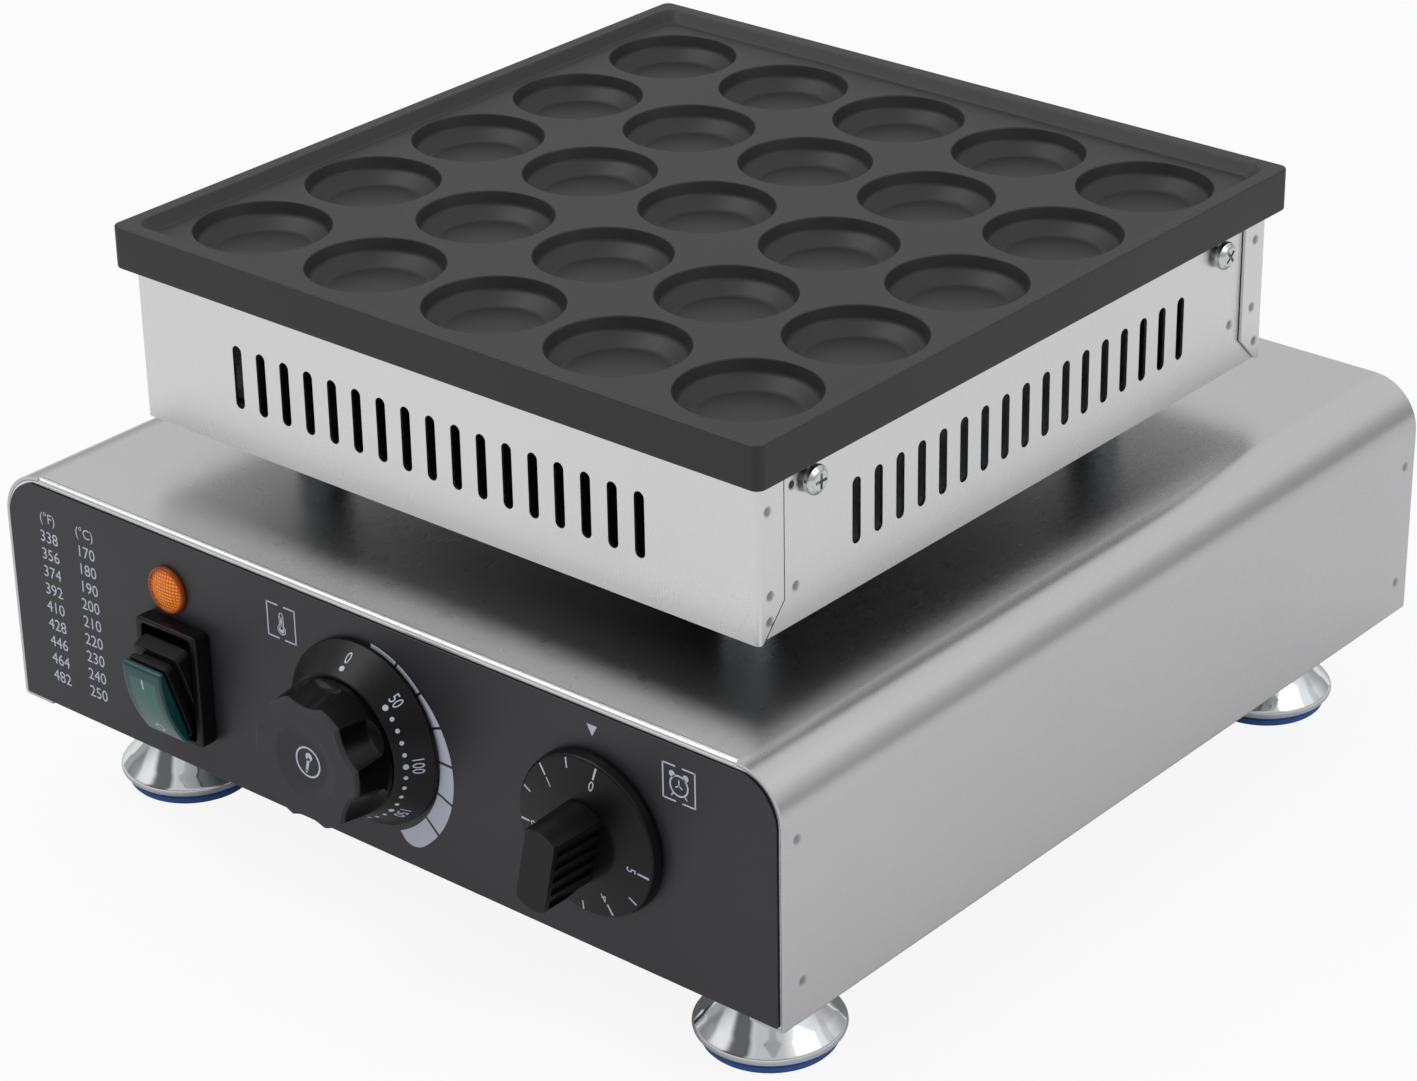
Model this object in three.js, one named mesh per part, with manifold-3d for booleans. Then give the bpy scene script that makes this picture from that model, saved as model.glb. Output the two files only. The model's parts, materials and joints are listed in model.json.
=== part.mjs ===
// A table-top maker of small round pancakes, in millimetres with +Z up.
// The origin is on the table in the middle of the machine, and its controls face -Y.
// A sheet steel base box on four feet holds the controls and the wiring. On its top stand
// four pillars, which carry a vented steel housing with the heater and the baking plate.
import * as THREE from 'three';
import { mergeVertices } from 'three/addons/utils/BufferGeometryUtils.js';
import Module from 'manifold-3d';

const wasm = await Module();
wasm.setup();

// Gaps between pieces
const seat = 0.3;
const running = 0.7;
const overrun = 1;

// Base box
const baseWidth = 345;
const baseDepth = 356;
const baseHeight = 89;
const baseCornerRadius = 18;
const baseSheet = 1.2;
const bendRadius = 1.6;
const turnedEdge = 14;
const joggleRun = 0.3;
const tabEndSpace = 18;
const overlayThickness = 0.5;
const overlayInset = 0.7;
const bottomScrewFromEnd = 62;

// Feet
const groundClearance = 37;
const footInsetX = 39;
const footInsetFront = 40.8;
const footInsetRear = 30.6;
const footRimRadius = 25;
const footRimHeight = 7;
const footLipHeight = 2.3;
const footLipInset = 0.8;
const footNeckRadius = 11;
const footPadRadius = 24.2;
const footPlugRadius = 19;
const footPlugHeight = 8;
const footStudRadius = 4;
const footStudReach = 12;
const bossRadius = 8.5;
const bossHeight = 7;

// Upper housing
const standoff = 17;
const upperForward = 5.4;
const housingWidth = 270;
const housingDepth = 274.4;
const housingHeight = 55;
const housingSheet = 1;
const wrapFlange = 12.6;
const wrapMitre = 12.4;
const trayFlange = 11;
const slotPitch = 11;
const slotCount = 17;
const slotWidth = 4.2;
const slotLength = 22.8;
const slotCentreHeight = 27;

// Pillars and wire sleeve
const pillarFromSide = 40;
const pillarFromEnd = 42.2;
const pillarRadius = 9;
const pillarBoltRadius = 3;
const pillarBoltDepth = 11;
const sleeveRadius = 17;
const sleeveWall = 2.5;
const sleeveCollar = 5;
const sleeveCollarHeight = 3;
const sleeveReach = 8;

// Baking plate
const plateOverhangX = 5;
const plateOverhangY = 5.3;
const skirtHeight = 15.2;
const plateCornerRadius = 3.5;
const rimWidth = 5.5;
const rimBevel = 3;
const rimDepth = 4;
const wellsPerSide = 5;
const wellPitch = 52.8;
const wellRadius = 23.8;
const wellDepth = 8.5;
const wellFloorRadius = 17.5;
const wellShoulderInset = 1.6;
const wellShoulderDepth = 4.6;
const heatLandDrop = 4;
const heatLandMargin = 18;
const lugWidth = 14;
const lugLength = 22;
const lugDrop = 17;
const plateScrewFromEnd = 26.5;
const plateScrewDrop = 8.2;
const plateScrewRadius = 2.5;
const plateScrewLength = 12;
const screwHeadRadius = 5;
const screwHeadHeight = 3.2;
const screwRecess = 1.6;
const screwRecessWidth = 1.1;
const screwRecessLength = 5.4;

// Heater, clamp, heat shield and sensor
const elementRadius = 4;
const elementReach = 96;
const elementTail = 12;
const elementBendRadius = 24;
const clampLength = 190;
const clampWidth = 46;
const clampThickness = 2;
const clampBossRadius = 8;
const clampBoltRadius = 3;
const hexHeadRadius = 5.5;
const hexHeadHeight = 4;
const shieldMarginX = 22;
const shieldMarginY = 26.2;
const shieldHeight = 24;
const shieldSheet = 0.8;
const shieldFoot = 9;
const bulbRadius = 3;
const bulbLength = 74;
const bulbFromCentre = 22;
const capillaryRadius = 1.1;
const leadRadius = 1.8;
const wireBend = 9;
const wireSideStep = 6;

// Controls on the front panel, placed from its middle
const dialRise = 1.3;
const dialRimRadius = 32.4;
const dialRimHeight = 2.3;
const dialTopRadius = 24.2;
const dialTopHeight = 12.5;
const dialHubRadius = 15.5;
const knobBaseRadius = 24;
const knobFaceRadius = 22.4;
const knobReach = 28.5;
const knobEdge = 1.2;
const fluteCount = 6;
const fluteDepth = 2;
const knobDishRadius = 12;
const knobDishDepth = 1.4;
const shaftRadius = 3;
const shaftReach = 22;
const bushRadius = 5.5;
const thermostatWidth = 46;
const thermostatHeight = 38;
const thermostatDepth = 28;
const timerFromEnd = 74.2;
const timerRise = 0.5;
const timerDiscRadius = 28;
const timerDiscEdge = 2;
const timerDiscRim = 5;
const timerDiscDome = 7.2;
const timerDiscInset = 0.6;
const timerBodySize = 44;
const timerBodyDepth = 36;
const gripLength = 29.3;
const gripWidth = 11.8;
const gripBaseLength = 26.6;
const gripBaseWidth = 13.6;
const gripReach = 27.5;
const gripShift = 2;
const gripEdge = 1.2;
const gripGrooveWidth = 1;
const gripGrooveDepth = 0.8;
const gripGroovePitch = 4.2;
const gripGrooveCount = 5;
const timerRestAngle = 12;
const switchFromEnd = 85.3;
const switchDrop = 8.3;
const switchFrameWidth = 29.5;
const switchFrameHeight = 42;
const switchFrameDepth = 6.5;
const switchFrameWall = 2.2;
const switchFrameSideWall = 3.3;
const switchFrameCorner = 2.4;
const switchBodyDepth = 26;
const switchBodyFlange = 1.5;
const rockerWidth = 18.6;
const rockerLength = 31;
const rockerReach = 17.1;
const rockerSide = 5;
const rockerCrown = 1.6;
const rockerTilt = 18;
const rockerStemWidth = 8;
const rockerStemDepth = 7;
const rockerStemReach = 6;
const bootWidth = 22.2;
const bootLength = 34;
const bootFoot = 4.8;
const bootRib = 2.4;
const bootGroove = 2.2;
const bootGrooveDepth = 1.5;
const bootUpperInset = 1.5;
const bootCorner = 2.4;
const lampFromEnd = 81.5;
const lampRise = 23;
const lampRadius = 8.7;
const lampReach = 4.6;
const lampEdge = 1.6;
const lampStemRadius = 6.4;
const lampBodyRadius = 8.5;
const lampBodyDepth = 24;

// Rear face and terminal block
const glandFromEnd = 64.5;
const glandDrop = 18;
const glandThreadRadius = 9.7;
const glandBoreRadius = 6;
const glandCapBoreRadius = 5.2;
const glandHexRadius = 14;
const glandHexHeight = 5;
const glandCapRadius = 13;
const glandReach = 24;
const glandNeck = 12;
const glandInside = 12;
const glandCapWall = 3;
const rearSlotCount = 9;
const terminalWidth = 58;
const terminalDepth = 22;
const terminalHeight = 18;
const terminalFromRear = 56;
const terminalPoles = 5;
const terminalGrooveDepth = 4;
const terminalGrooveWidth = 2;

// How finely round shapes are divided
const cornerSteps = 3;
const bendSteps = 2;
const slotSteps = 3;
const holeSteps = 12;
const smallRoundSteps = 12;
const roundSteps = 18;
const dialSteps = 32;
const fluteSteps = 8;
const fluteSharpness = 4;
const crownSteps = 6;
const hexSides = 6;
const flareSteps = 5;
const elementSteps = 56;
const leadSteps = 36;
const capillarySteps = 40;
const wellSteps = 20;
const tubeSides = 8;
const wireSides = 5;

// Heights and places that follow from the sizes above
const half = (size) => size / 2;
const degrees = (angle) => THREE.MathUtils.degToRad(angle);
const baseTop = groundClearance + baseHeight;
const panelMiddle = groundClearance + half(baseHeight);
const housingBottom = baseTop + standoff;
const bodyShift = half(knobReach - glandReach);
const panelFace = overlayThickness + seat;
const panelBack = panelFace + baseSheet;
const shellEdge = bendRadius + joggleRun + seat;
const bottomPlateLow = groundClearance + baseSheet + seat;
const bottomPlateTop = bottomPlateLow + baseSheet;
const plateWidth = housingWidth + 2 * plateOverhangX;
const plateDepth = housingDepth + 2 * plateOverhangY;
const plateScrewSpread = housingDepth - 2 * plateScrewFromEnd;
const pillarSpreadX = housingWidth - 2 * pillarFromSide;
const pillarSpreadY = housingDepth - 2 * pillarFromEnd;
const shieldWidth = housingWidth - 2 * shieldMarginX;
const shieldDepth = housingDepth - 2 * shieldMarginY;
const landBottom = housingHeight - heatLandDrop;
const elementHeight = landBottom - seat - elementRadius;
const clampTop = elementHeight - elementRadius - seat;
const sideWallFace = half(housingWidth) - housingSheet - seat;
const sideWallBack = sideWallFace - housingSheet;
const endWallBack = half(housingDepth) - housingSheet;
const sleeveBore = sleeveRadius - sleeveWall;
const wireRun = sleeveReach + leadRadius + running;
const switchHoleWidth = switchFrameWidth - 2 * switchFrameSideWall;
const switchHoleHeight = switchFrameHeight - 2 * switchFrameWall;

// Colours and surfaces, as seen in the photograph
const finishes = {
  coating: { color: 0x47484a, roughness: 0.55, metalness: 0.1 },
  steel: { color: 0xc4c5c6, roughness: 0.32, metalness: 0.9 },
  chrome: { color: 0xdadcdd, roughness: 0.12, metalness: 1 },
  screw: { color: 0xcfd0d1, roughness: 0.22, metalness: 1 },
  zinc: { color: 0xa9adb0, roughness: 0.45, metalness: 0.8 },
  tube: { color: 0x6f6c68, roughness: 0.5, metalness: 0.8 },
  overlay: { color: 0x3f3d42, roughness: 0.5, metalness: 0 },
  black: { color: 0x141414, roughness: 0.4, metalness: 0 },
  rubber: { color: 0x0f0f10, roughness: 0.7, metalness: 0 },
  blue: { color: 0x31589b, roughness: 0.6, metalness: 0 },
  green: { color: 0x1f6a58, roughness: 0.2, metalness: 0 },
  amber: { color: 0xe0781a, roughness: 0.18, metalness: 0 },
  brass: { color: 0xb89a5a, roughness: 0.35, metalness: 1 },
  white: { color: 0xd8d6cf, roughness: 0.5, metalness: 0 },
  wire: { color: 0xb9b2a4, roughness: 0.7, metalness: 0 },
};

// A closed geometry as a solid that can be joined and cut
function solid(geometry) {
  const bare = geometry.clone();
  bare.deleteAttribute('normal');
  bare.deleteAttribute('uv');
  const merged = mergeVertices(bare);
  const place = merged.getAttribute('position').array;
  const corner = (i) => new THREE.Vector3().fromArray(place, 3 * i);
  const faces = [];
  let volume = 0;
  const index = merged.getIndex().array;
  for (let i = 0; i < index.length; i += 3) {
    const [a, b, c] = index.slice(i, i + 3);
    if (a === b || b === c || c === a) continue;
    faces.push([a, b, c]);
    volume += corner(a).dot(corner(b).cross(corner(c)));
  }
  const outward = volume > 0 ? faces : faces.map(([a, b, c]) => [a, c, b]);
  return new wasm.Manifold(new wasm.Mesh({
    numProp: 3,
    vertProperties: new Float32Array(place),
    triVerts: new Uint32Array(outward.flat()),
  }));
}

const asSolid = (shape) => (shape.isBufferGeometry ? solid(shape) : shape);
const join = (shapes) => shapes.map(asSolid).reduce((whole, part) => whole.add(part));
const cut = (shape, tools) => (
  tools.map(asSolid).reduce((rest, tool) => rest.subtract(tool), asSolid(shape)));

// A named mesh with its own material
function piece(name, finish, shape) {
  const mesh = asSolid(shape).getMesh();
  const geometry = new THREE.BufferGeometry();
  geometry.setAttribute('position', new THREE.BufferAttribute(mesh.vertProperties, 3));
  geometry.setIndex(new THREE.BufferAttribute(mesh.triVerts, 1));
  geometry.computeVertexNormals();
  const part = new THREE.Mesh(geometry, new THREE.MeshStandardMaterial(finishes[finish]));
  part.name = name;
  return part;
}

// Flat outlines, each a list of points that runs counter-clockwise
const point = (x, y) => new THREE.Vector2(x, y);

function arc(x, y, radius, from, to, steps) {
  return Array.from({ length: steps + 1 }, (_, i) => {
    const angle = degrees(from + ((to - from) * i) / steps);
    return point(x + radius * Math.cos(angle), y + radius * Math.sin(angle));
  });
}

const circle = (x, y, radius, steps) => arc(x, y, radius, 0, 360, steps).slice(0, steps);

function rectangle(width, height, x = 0, y = 0) {
  const [w, h] = [half(width), half(height)];
  return [point(x - w, y - h), point(x + w, y - h), point(x + w, y + h), point(x - w, y + h)];
}

function roundedRectangle(width, height, radius, steps = cornerSteps) {
  const [w, h] = [half(width) - radius, half(height) - radius];
  return [
    ...arc(w, -h, radius, -90, 0, steps),
    ...arc(w, h, radius, 0, 90, steps),
    ...arc(-w, h, radius, 90, 180, steps),
    ...arc(-w, -h, radius, 180, 270, steps),
  ];
}

function slotOutline(x, y) {
  const [radius, reach] = [half(slotWidth), half(slotLength - slotWidth)];
  return [
    ...arc(x, y + reach, radius, 0, 180, slotSteps),
    ...arc(x, y - reach, radius, 180, 360, slotSteps),
  ];
}

const row = (count, pitch) => Array.from({ length: count }, (_, i) => (i - half(count - 1)) * pitch);

// An outline drawn out along +Z from zero to its depth
function prism(outline, depth, holes = []) {
  const shape = new THREE.Shape(outline);
  shape.holes = holes.map((hole) => new THREE.Path(hole));
  return new THREE.ExtrudeGeometry(shape, { depth, bevelEnabled: false });
}

// A box between two corners
function block([x0, y0, z0], [x1, y1, z1]) {
  const middle = [half(x0 + x1), half(y0 + y1), half(z0 + z1)];
  return new THREE.BoxGeometry(x1 - x0, y1 - y0, z1 - z0).translate(...middle);
}

// A solid through outlines of equal point counts, each with its height
function stack(layers) {
  const count = layers[0][0].length;
  const places = layers.flatMap(([outline, z]) => outline.flatMap((p) => [p.x, p.y, z]));
  const faces = [];
  for (let level = 0; level + 1 < layers.length; level += 1) {
    for (let i = 0; i < count; i += 1) {
      const [a, b] = [level * count + i, level * count + ((i + 1) % count)];
      faces.push(a, b, b + count, a, b + count, a + count);
    }
  }
  const last = (layers.length - 1) * count;
  const low = THREE.ShapeUtils.triangulateShape(layers[0][0], []);
  const high = THREE.ShapeUtils.triangulateShape(layers[layers.length - 1][0], []);
  low.forEach(([a, b, c]) => faces.push(a, c, b));
  high.forEach(([a, b, c]) => faces.push(last + a, last + b, last + c));
  const geometry = new THREE.BufferGeometry();
  geometry.setAttribute('position', new THREE.Float32BufferAttribute(places, 3));
  geometry.setIndex(faces);
  return geometry;
}

// A solid turned about Z from points of radius and height
function turned(profile, steps = roundSteps) {
  const points = profile.map(([radius, height]) => point(radius, height));
  return new THREE.LatheGeometry(points, steps).rotateX(half(Math.PI));
}

function rod(radius, low, high, steps = roundSteps) {
  return turned([[0, low], [radius, low], [radius, high], [0, high]], steps);
}

function tube(outer, inner, low, high, steps = roundSteps) {
  return turned([[inner, low], [outer, low], [outer, high], [inner, high], [inner, low]], steps);
}

// A round wire or tube along straight runs with rounded corners
function wire(corners, radius, bend, sides, steps) {
  const path = new THREE.CurvePath();
  const places = corners.map((corner) => new THREE.Vector3(...corner));
  let from = places[0];
  for (let i = 1; i + 1 < places.length; i += 1) {
    const [before, here, after] = [places[i - 1], places[i], places[i + 1]];
    const reach = Math.min(bend, half(before.distanceTo(here)), half(here.distanceTo(after)));
    const start = here.clone().add(before.clone().sub(here).setLength(reach));
    const end = here.clone().add(after.clone().sub(here).setLength(reach));
    path.add(new THREE.LineCurve3(from, start));
    path.add(new THREE.QuadraticBezierCurve3(start, here, end));
    from = end;
  }
  path.add(new THREE.LineCurve3(from, places[places.length - 1]));
  const shape = new THREE.Shape(circle(0, 0, radius, sides));
  return new THREE.ExtrudeGeometry(shape, { steps, extrudePath: path, bevelEnabled: false });
}

// Baking plate: a coated casting with a raised rim and a square grid of round wells.
// Its underside has a flat land for the heater, a boss for the clamp bolt and four screw lugs.
function bakingPlate() {
  const surface = skirtHeight - rimDepth;
  const mouth = [plateWidth - 2 * rimWidth, plateDepth - 2 * rimWidth];
  const floor = mouth.map((size) => size - 2 * rimBevel);
  const pocket = stack([
    [roundedRectangle(...floor, plateCornerRadius), surface],
    [roundedRectangle(...mouth, plateCornerRadius + rimBevel), skirtHeight],
    [roundedRectangle(...mouth, plateCornerRadius + rimBevel), skirtHeight + overrun],
  ]);
  const slab = prism(roundedRectangle(plateWidth, plateDepth, plateCornerRadius), skirtHeight);
  const landSize = [housingWidth - 2 * heatLandMargin, housingDepth - 2 * heatLandMargin];
  const land = prism(rectangle(...landSize), heatLandDrop + overrun).translate(0, 0, -heatLandDrop);
  const bossEnd = clampTop - housingHeight + seat;
  const body = [slab, land, rod(clampBossRadius, bossEnd, -heatLandDrop + overrun)];
  const bores = [rod(clampBoltRadius + seat, bossEnd - overrun, -overrun, smallRoundSteps)];
  const lugEnd = sideWallBack - seat;
  for (const side of [-1, 1]) {
    for (const y of row(2, plateScrewSpread)) {
      const [x0, x1] = [side * (lugEnd - lugWidth), side * lugEnd];
      const [low, high] = [Math.min(x0, x1), Math.max(x0, x1)];
      body.push(block([low, y - half(lugLength), -lugDrop], [high, y + half(lugLength), overrun]));
      const bore = rod(plateScrewRadius + seat, low - overrun, high + overrun, smallRoundSteps);
      bores.push(bore.rotateY(half(Math.PI)).translate(0, y, -plateScrewDrop));
    }
  }
  const well = turned([
    [0, -wellDepth],
    [wellFloorRadius, -wellDepth],
    [wellRadius - wellShoulderInset, -wellShoulderDepth],
    [wellRadius, 0],
    [wellRadius, overrun],
    [0, overrun],
  ], wellSteps);
  const wells = row(wellsPerSide, wellPitch).flatMap((x) => (
    row(wellsPerSide, wellPitch).map((y) => well.clone().translate(x, y, surface))));
  const plate = piece('baking_plate', 'coating', cut(join(body), [pocket, ...bores, ...wells]));
  plate.position.z = housingHeight;
  return plate;
}

// Pan head screw with a cross recess, its head seated at zero and its shank toward -Z
function panScrew(name, shankRadius, length, headRadius, headHeight) {
  const body = turned([
    [0, -length],
    [shankRadius, -length],
    [shankRadius, 0],
    [headRadius, 0],
    [headRadius, half(headHeight)],
    [half(headRadius), headHeight],
    [0, headHeight],
  ], smallRoundSteps);
  const [w, l] = [half(screwRecessWidth), half(screwRecessLength)];
  const [low, high] = [headHeight - screwRecess, headHeight + overrun];
  const cross = [block([-l, -w, low], [l, w, high]), block([-w, -l, low], [w, l, high])];
  return piece(name, 'screw', cut(body, cross));
}

// Hex bolt, its head seated at zero and its shank toward -Z
function hexBolt(name, shankRadius, length) {
  const head = prism(circle(0, 0, hexHeadRadius, hexSides), hexHeadHeight);
  const shank = rod(shankRadius, -length, half(hexHeadHeight), smallRoundSteps);
  return piece(name, 'screw', join([head, shank]));
}

function plateScrews() {
  const screws = [];
  for (const [side, sign] of [['left', -1], ['right', 1]]) {
    for (const [end, y] of [['front', -half(plateScrewSpread)], ['rear', half(plateScrewSpread)]]) {
      const name = `plate_screw_${side}_${end}`;
      const screw = panScrew(name, plateScrewRadius, plateScrewLength, screwHeadRadius, screwHeadHeight);
      screw.rotation.y = sign * half(Math.PI);
      screw.position.set(sign * (sideWallFace + seat), y, housingHeight - plateScrewDrop);
      screws.push(screw);
    }
  }
  return screws;
}

// Front or rear wall of the housing, a vented sheet whose ends wrap round onto the sides
function wrapWall(name) {
  const [w, s, r] = [half(housingWidth), housingSheet, bendRadius];
  const inner = r - s;
  const outline = [
    point(-w + s, wrapFlange),
    point(-w, wrapFlange),
    ...arc(-w + r, r, r, 180, 270, bendSteps),
    ...arc(w - r, r, r, 270, 360, bendSteps),
    point(w, wrapFlange),
    point(w - s, wrapFlange),
    ...arc(w - r, r, inner, 0, -90, bendSteps),
    ...arc(-w + r, r, inner, 270, 180, bendSteps),
  ];
  const height = housingHeight - seat;
  const wall = prism(outline, height);
  const slots = row(slotCount, slotPitch).map((x) => (
    prism(slotOutline(x, slotCentreHeight), s + 2 * overrun)
      .rotateX(half(Math.PI)).translate(0, s + overrun, 0)));
  const reach = wrapFlange + overrun;
  const mitreEdge = -r - overrun;
  const mitre = [
    point(-reach, -overrun), point(mitreEdge, -overrun), point(mitreEdge, 0), point(-reach, wrapMitre),
  ];
  const corners = prism(mitre, housingWidth + 2 * overrun).rotateX(half(Math.PI)).rotateZ(half(Math.PI));
  corners.translate(-w - overrun, 0, 0);
  return piece(name, 'steel', cut(wall, [...slots, corners]));
}

// Left or right wall of the housing, a flat vented sheet behind the wrapped ends
function sideWall(name) {
  const length = 2 * (endWallBack - seat);
  const height = housingHeight - seat;
  const slots = row(slotCount, slotPitch).map((y) => slotOutline(y, slotCentreHeight));
  const screwHoles = row(2, plateScrewSpread).map((y) => (
    circle(y, housingHeight - plateScrewDrop, plateScrewRadius + seat, holeSteps)));
  const outline = rectangle(length, height, 0, half(height));
  const wall = prism(outline, housingSheet, [...slots, ...screwHoles]);
  return piece(name, 'steel', wall.rotateX(half(Math.PI)).rotateZ(half(Math.PI)));
}

function housingWalls() {
  const front = wrapWall('housing_front');
  front.position.y = -half(housingDepth);
  const rear = wrapWall('housing_rear');
  rear.rotation.z = Math.PI;
  rear.position.y = half(housingDepth);
  const left = sideWall('housing_left');
  left.position.x = -sideWallFace;
  const right = sideWall('housing_right');
  right.position.x = sideWallBack;
  return [front, rear, left, right];
}

// Housing floor, a shallow tray that stands on the pillars
function housingFloor() {
  const [w, d] = [sideWallBack - seat, endWallBack - 2 * seat - housingSheet];
  const s = housingSheet;
  const outside = block([-w, -d, 0], [w, d, trayFlange]);
  const inside = block([-w + s, -d + s, s], [w - s, d - s, trayFlange + overrun]);
  const holes = [rod(sleeveRadius + seat, -overrun, s + overrun)];
  for (const x of row(2, pillarSpreadX)) {
    for (const y of row(2, pillarSpreadY)) {
      const hole = rod(pillarBoltRadius + seat, -overrun, s + overrun, holeSteps);
      holes.push(hole.translate(x, y, 0));
    }
  }
  return piece('housing_floor', 'steel', cut(outside, [inside, ...holes]));
}

// Pillars between the base and the housing floor, each with a bolt from above
function pillars() {
  const parts = [];
  const top = -seat;
  for (const [side, x] of [['left', -half(pillarSpreadX)], ['right', half(pillarSpreadX)]]) {
    for (const [end, y] of [['front', -half(pillarSpreadY)], ['rear', half(pillarSpreadY)]]) {
      const post = rod(pillarRadius, seat - standoff, top);
      const bore = rod(pillarBoltRadius + seat, -pillarBoltDepth - running, overrun, smallRoundSteps);
      const pillar = piece(`pillar_${side}_${end}`, 'zinc', cut(post, [bore]));
      pillar.position.set(x, y, 0);
      const bolt = hexBolt(`pillar_bolt_${side}_${end}`, pillarBoltRadius, pillarBoltDepth + housingSheet);
      bolt.position.set(x, y, housingSheet + seat);
      parts.push(pillar, bolt);
    }
  }
  return parts;
}

// Sleeve that leads the wires from the base into the housing
function wireSleeve() {
  const low = -standoff - sleeveReach;
  const collar = seat - standoff;
  const sleeve = turned([
    [sleeveBore, low],
    [sleeveRadius, low],
    [sleeveRadius, collar],
    [sleeveRadius + sleeveCollar, collar],
    [sleeveRadius + sleeveCollar, collar + sleeveCollarHeight],
    [sleeveRadius, collar + sleeveCollarHeight],
    [sleeveRadius, sleeveReach],
    [sleeveBore, sleeveReach],
    [sleeveBore, low],
  ]);
  return piece('wire_sleeve', 'black', sleeve);
}

// Tubular heater bent into four runs between the columns of wells, with both ends at the rear
function heatingElement() {
  const [near, far] = [half(wellPitch), half(3 * wellPitch)];
  const [front, rear, end] = [-elementReach, elementReach, elementReach + elementTail];
  const z = elementHeight;
  const corners = [
    [-far, end, z], [-far, front, z], [-near, front, z], [-near, rear, z],
    [near, rear, z], [near, front, z], [far, front, z], [far, end, z],
  ];
  const element = wire(corners, elementRadius, elementBendRadius, tubeSides, elementSteps);
  return piece('heating_element', 'tube', element);
}

// Clamp plate that holds the heater up against the casting, with its bolt
function elementClamp() {
  const hole = circle(0, 0, clampBoltRadius + seat, holeSteps);
  const plate = prism(rectangle(clampLength, clampWidth), clampThickness, [hole]);
  const clamp = piece('element_clamp', 'zinc', plate.translate(0, 0, clampTop - clampThickness));
  const under = clampTop - clampThickness - seat;
  const bolt = hexBolt('clamp_bolt', clampBoltRadius, landBottom - under);
  bolt.rotation.x = Math.PI;
  bolt.position.z = under;
  return [clamp, bolt];
}

// Heat shield, a folded sheet that stands on the housing floor under the heater
function heatShield() {
  const [w, s, f] = [half(shieldWidth), shieldSheet, shieldFoot];
  const [low, high] = [housingSheet + seat, housingSheet + seat + shieldHeight];
  const outline = [
    point(-w - f, low), point(-w + s, low), point(-w + s, high - s), point(w - s, high - s),
    point(w - s, low), point(w + f, low), point(w + f, low + s), point(w, low + s),
    point(w, high), point(-w, high), point(-w, low + s), point(-w - f, low + s),
  ];
  const shield = prism(outline, shieldDepth).rotateX(half(Math.PI));
  return piece('heat_shield', 'zinc', shield.translate(0, half(shieldDepth), 0));
}

// Thermostat sensor: a bulb under the casting and the fine tube that runs down to the control
function sensor() {
  const z = landBottom - seat - bulbRadius;
  const bulbEnd = -bulbFromCentre - bulbLength;
  const bulb = rod(bulbRadius, bulbFromCentre, bulbFromCentre + bulbLength, smallRoundSteps);
  bulb.rotateX(half(Math.PI)).translate(0, 0, z);
  const shieldFront = -half(shieldDepth) - wireBend;
  const controlBack = -half(baseDepth) + panelBack + thermostatDepth + 2 * seat + upperForward;
  const controlHeight = panelMiddle + dialRise - housingBottom;
  const corners = [
    [0, bulbEnd + overrun, z],
    [0, shieldFront, z],
    [0, shieldFront, wireRun],
    [0, -wireSideStep, wireRun],
    [0, -wireSideStep, controlHeight],
    [0, controlBack, controlHeight],
  ];
  const capillary = wire(corners, capillaryRadius, wireBend, wireSides, capillarySteps);
  return piece('sensor_bulb_and_capillary', 'brass', join([bulb, capillary]));
}

// Two insulated leads from the ends of the heater down to the terminal block
function heaterLeads() {
  const end = elementReach + elementTail + seat;
  const drop = end + wireBend;
  const terminalY = half(baseDepth) - terminalFromRear + upperForward;
  const terminalZ = bottomPlateTop + terminalHeight + 2 * seat - housingBottom;
  const level = -standoff - sleeveReach - wireBend;
  return [['left', -1], ['right', 1]].map(([side, sign]) => {
    const outer = sign * half(3 * wellPitch);
    const inner = sign * wireSideStep;
    const pole = sign * half(terminalWidth / terminalPoles);
    const corners = [
      [outer, end, elementHeight],
      [outer, drop, elementHeight],
      [outer, drop, wireRun],
      [inner, drop, wireRun],
      [inner, wireSideStep, wireRun],
      [inner, wireSideStep, level],
      [pole, terminalY, level],
      [pole, terminalY, terminalZ],
    ];
    return piece(`heater_lead_${side}`, 'wire', wire(corners, leadRadius, wireBend, wireSides, leadSteps));
  });
}

// Base shell: the top and both sides in one bent sheet, with turned-in bottom edges
function baseShell() {
  const [w, t, r] = [half(baseWidth), baseSheet, baseCornerRadius];
  const [low, top, edge] = [groundClearance, baseTop, half(baseWidth) - turnedEdge];
  const outline = [
    point(edge, low), point(w, low),
    ...arc(w - r, top - r, r, 0, 90, 2 * cornerSteps),
    ...arc(-w + r, top - r, r, 90, 180, 2 * cornerSteps),
    point(-w, low), point(-edge, low), point(-edge, low + t), point(-w + t, low + t),
    ...arc(-w + r, top - r, r - t, 180, 90, 2 * cornerSteps),
    ...arc(w - r, top - r, r - t, 90, 0, 2 * cornerSteps),
    point(w - t, low + t), point(edge, low + t),
  ];
  const [front, rear] = [-half(baseDepth) + panelFace + shellEdge, half(baseDepth) - shellEdge];
  const shell = prism(outline, rear - front).rotateX(half(Math.PI)).translate(0, rear, 0);
  const sleeveHole = rod(sleeveRadius + seat, top - t - overrun, top + overrun);
  sleeveHole.translate(0, -upperForward, 0);
  const holes = bottomScrewPlaces().map(([x, y]) => (
    rod(plateScrewRadius + seat, low - overrun, low + t + overrun, holeSteps).translate(x, y, 0)));
  return piece('base_shell', 'steel', cut(shell, [sleeveHole, ...holes]));
}

function bottomScrewPlaces() {
  const [x, y] = [half(baseWidth) - half(turnedEdge), half(baseDepth) - bottomScrewFromEnd];
  return [[-x, -y], [x, -y], [-x, y], [x, y]];
}

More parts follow.
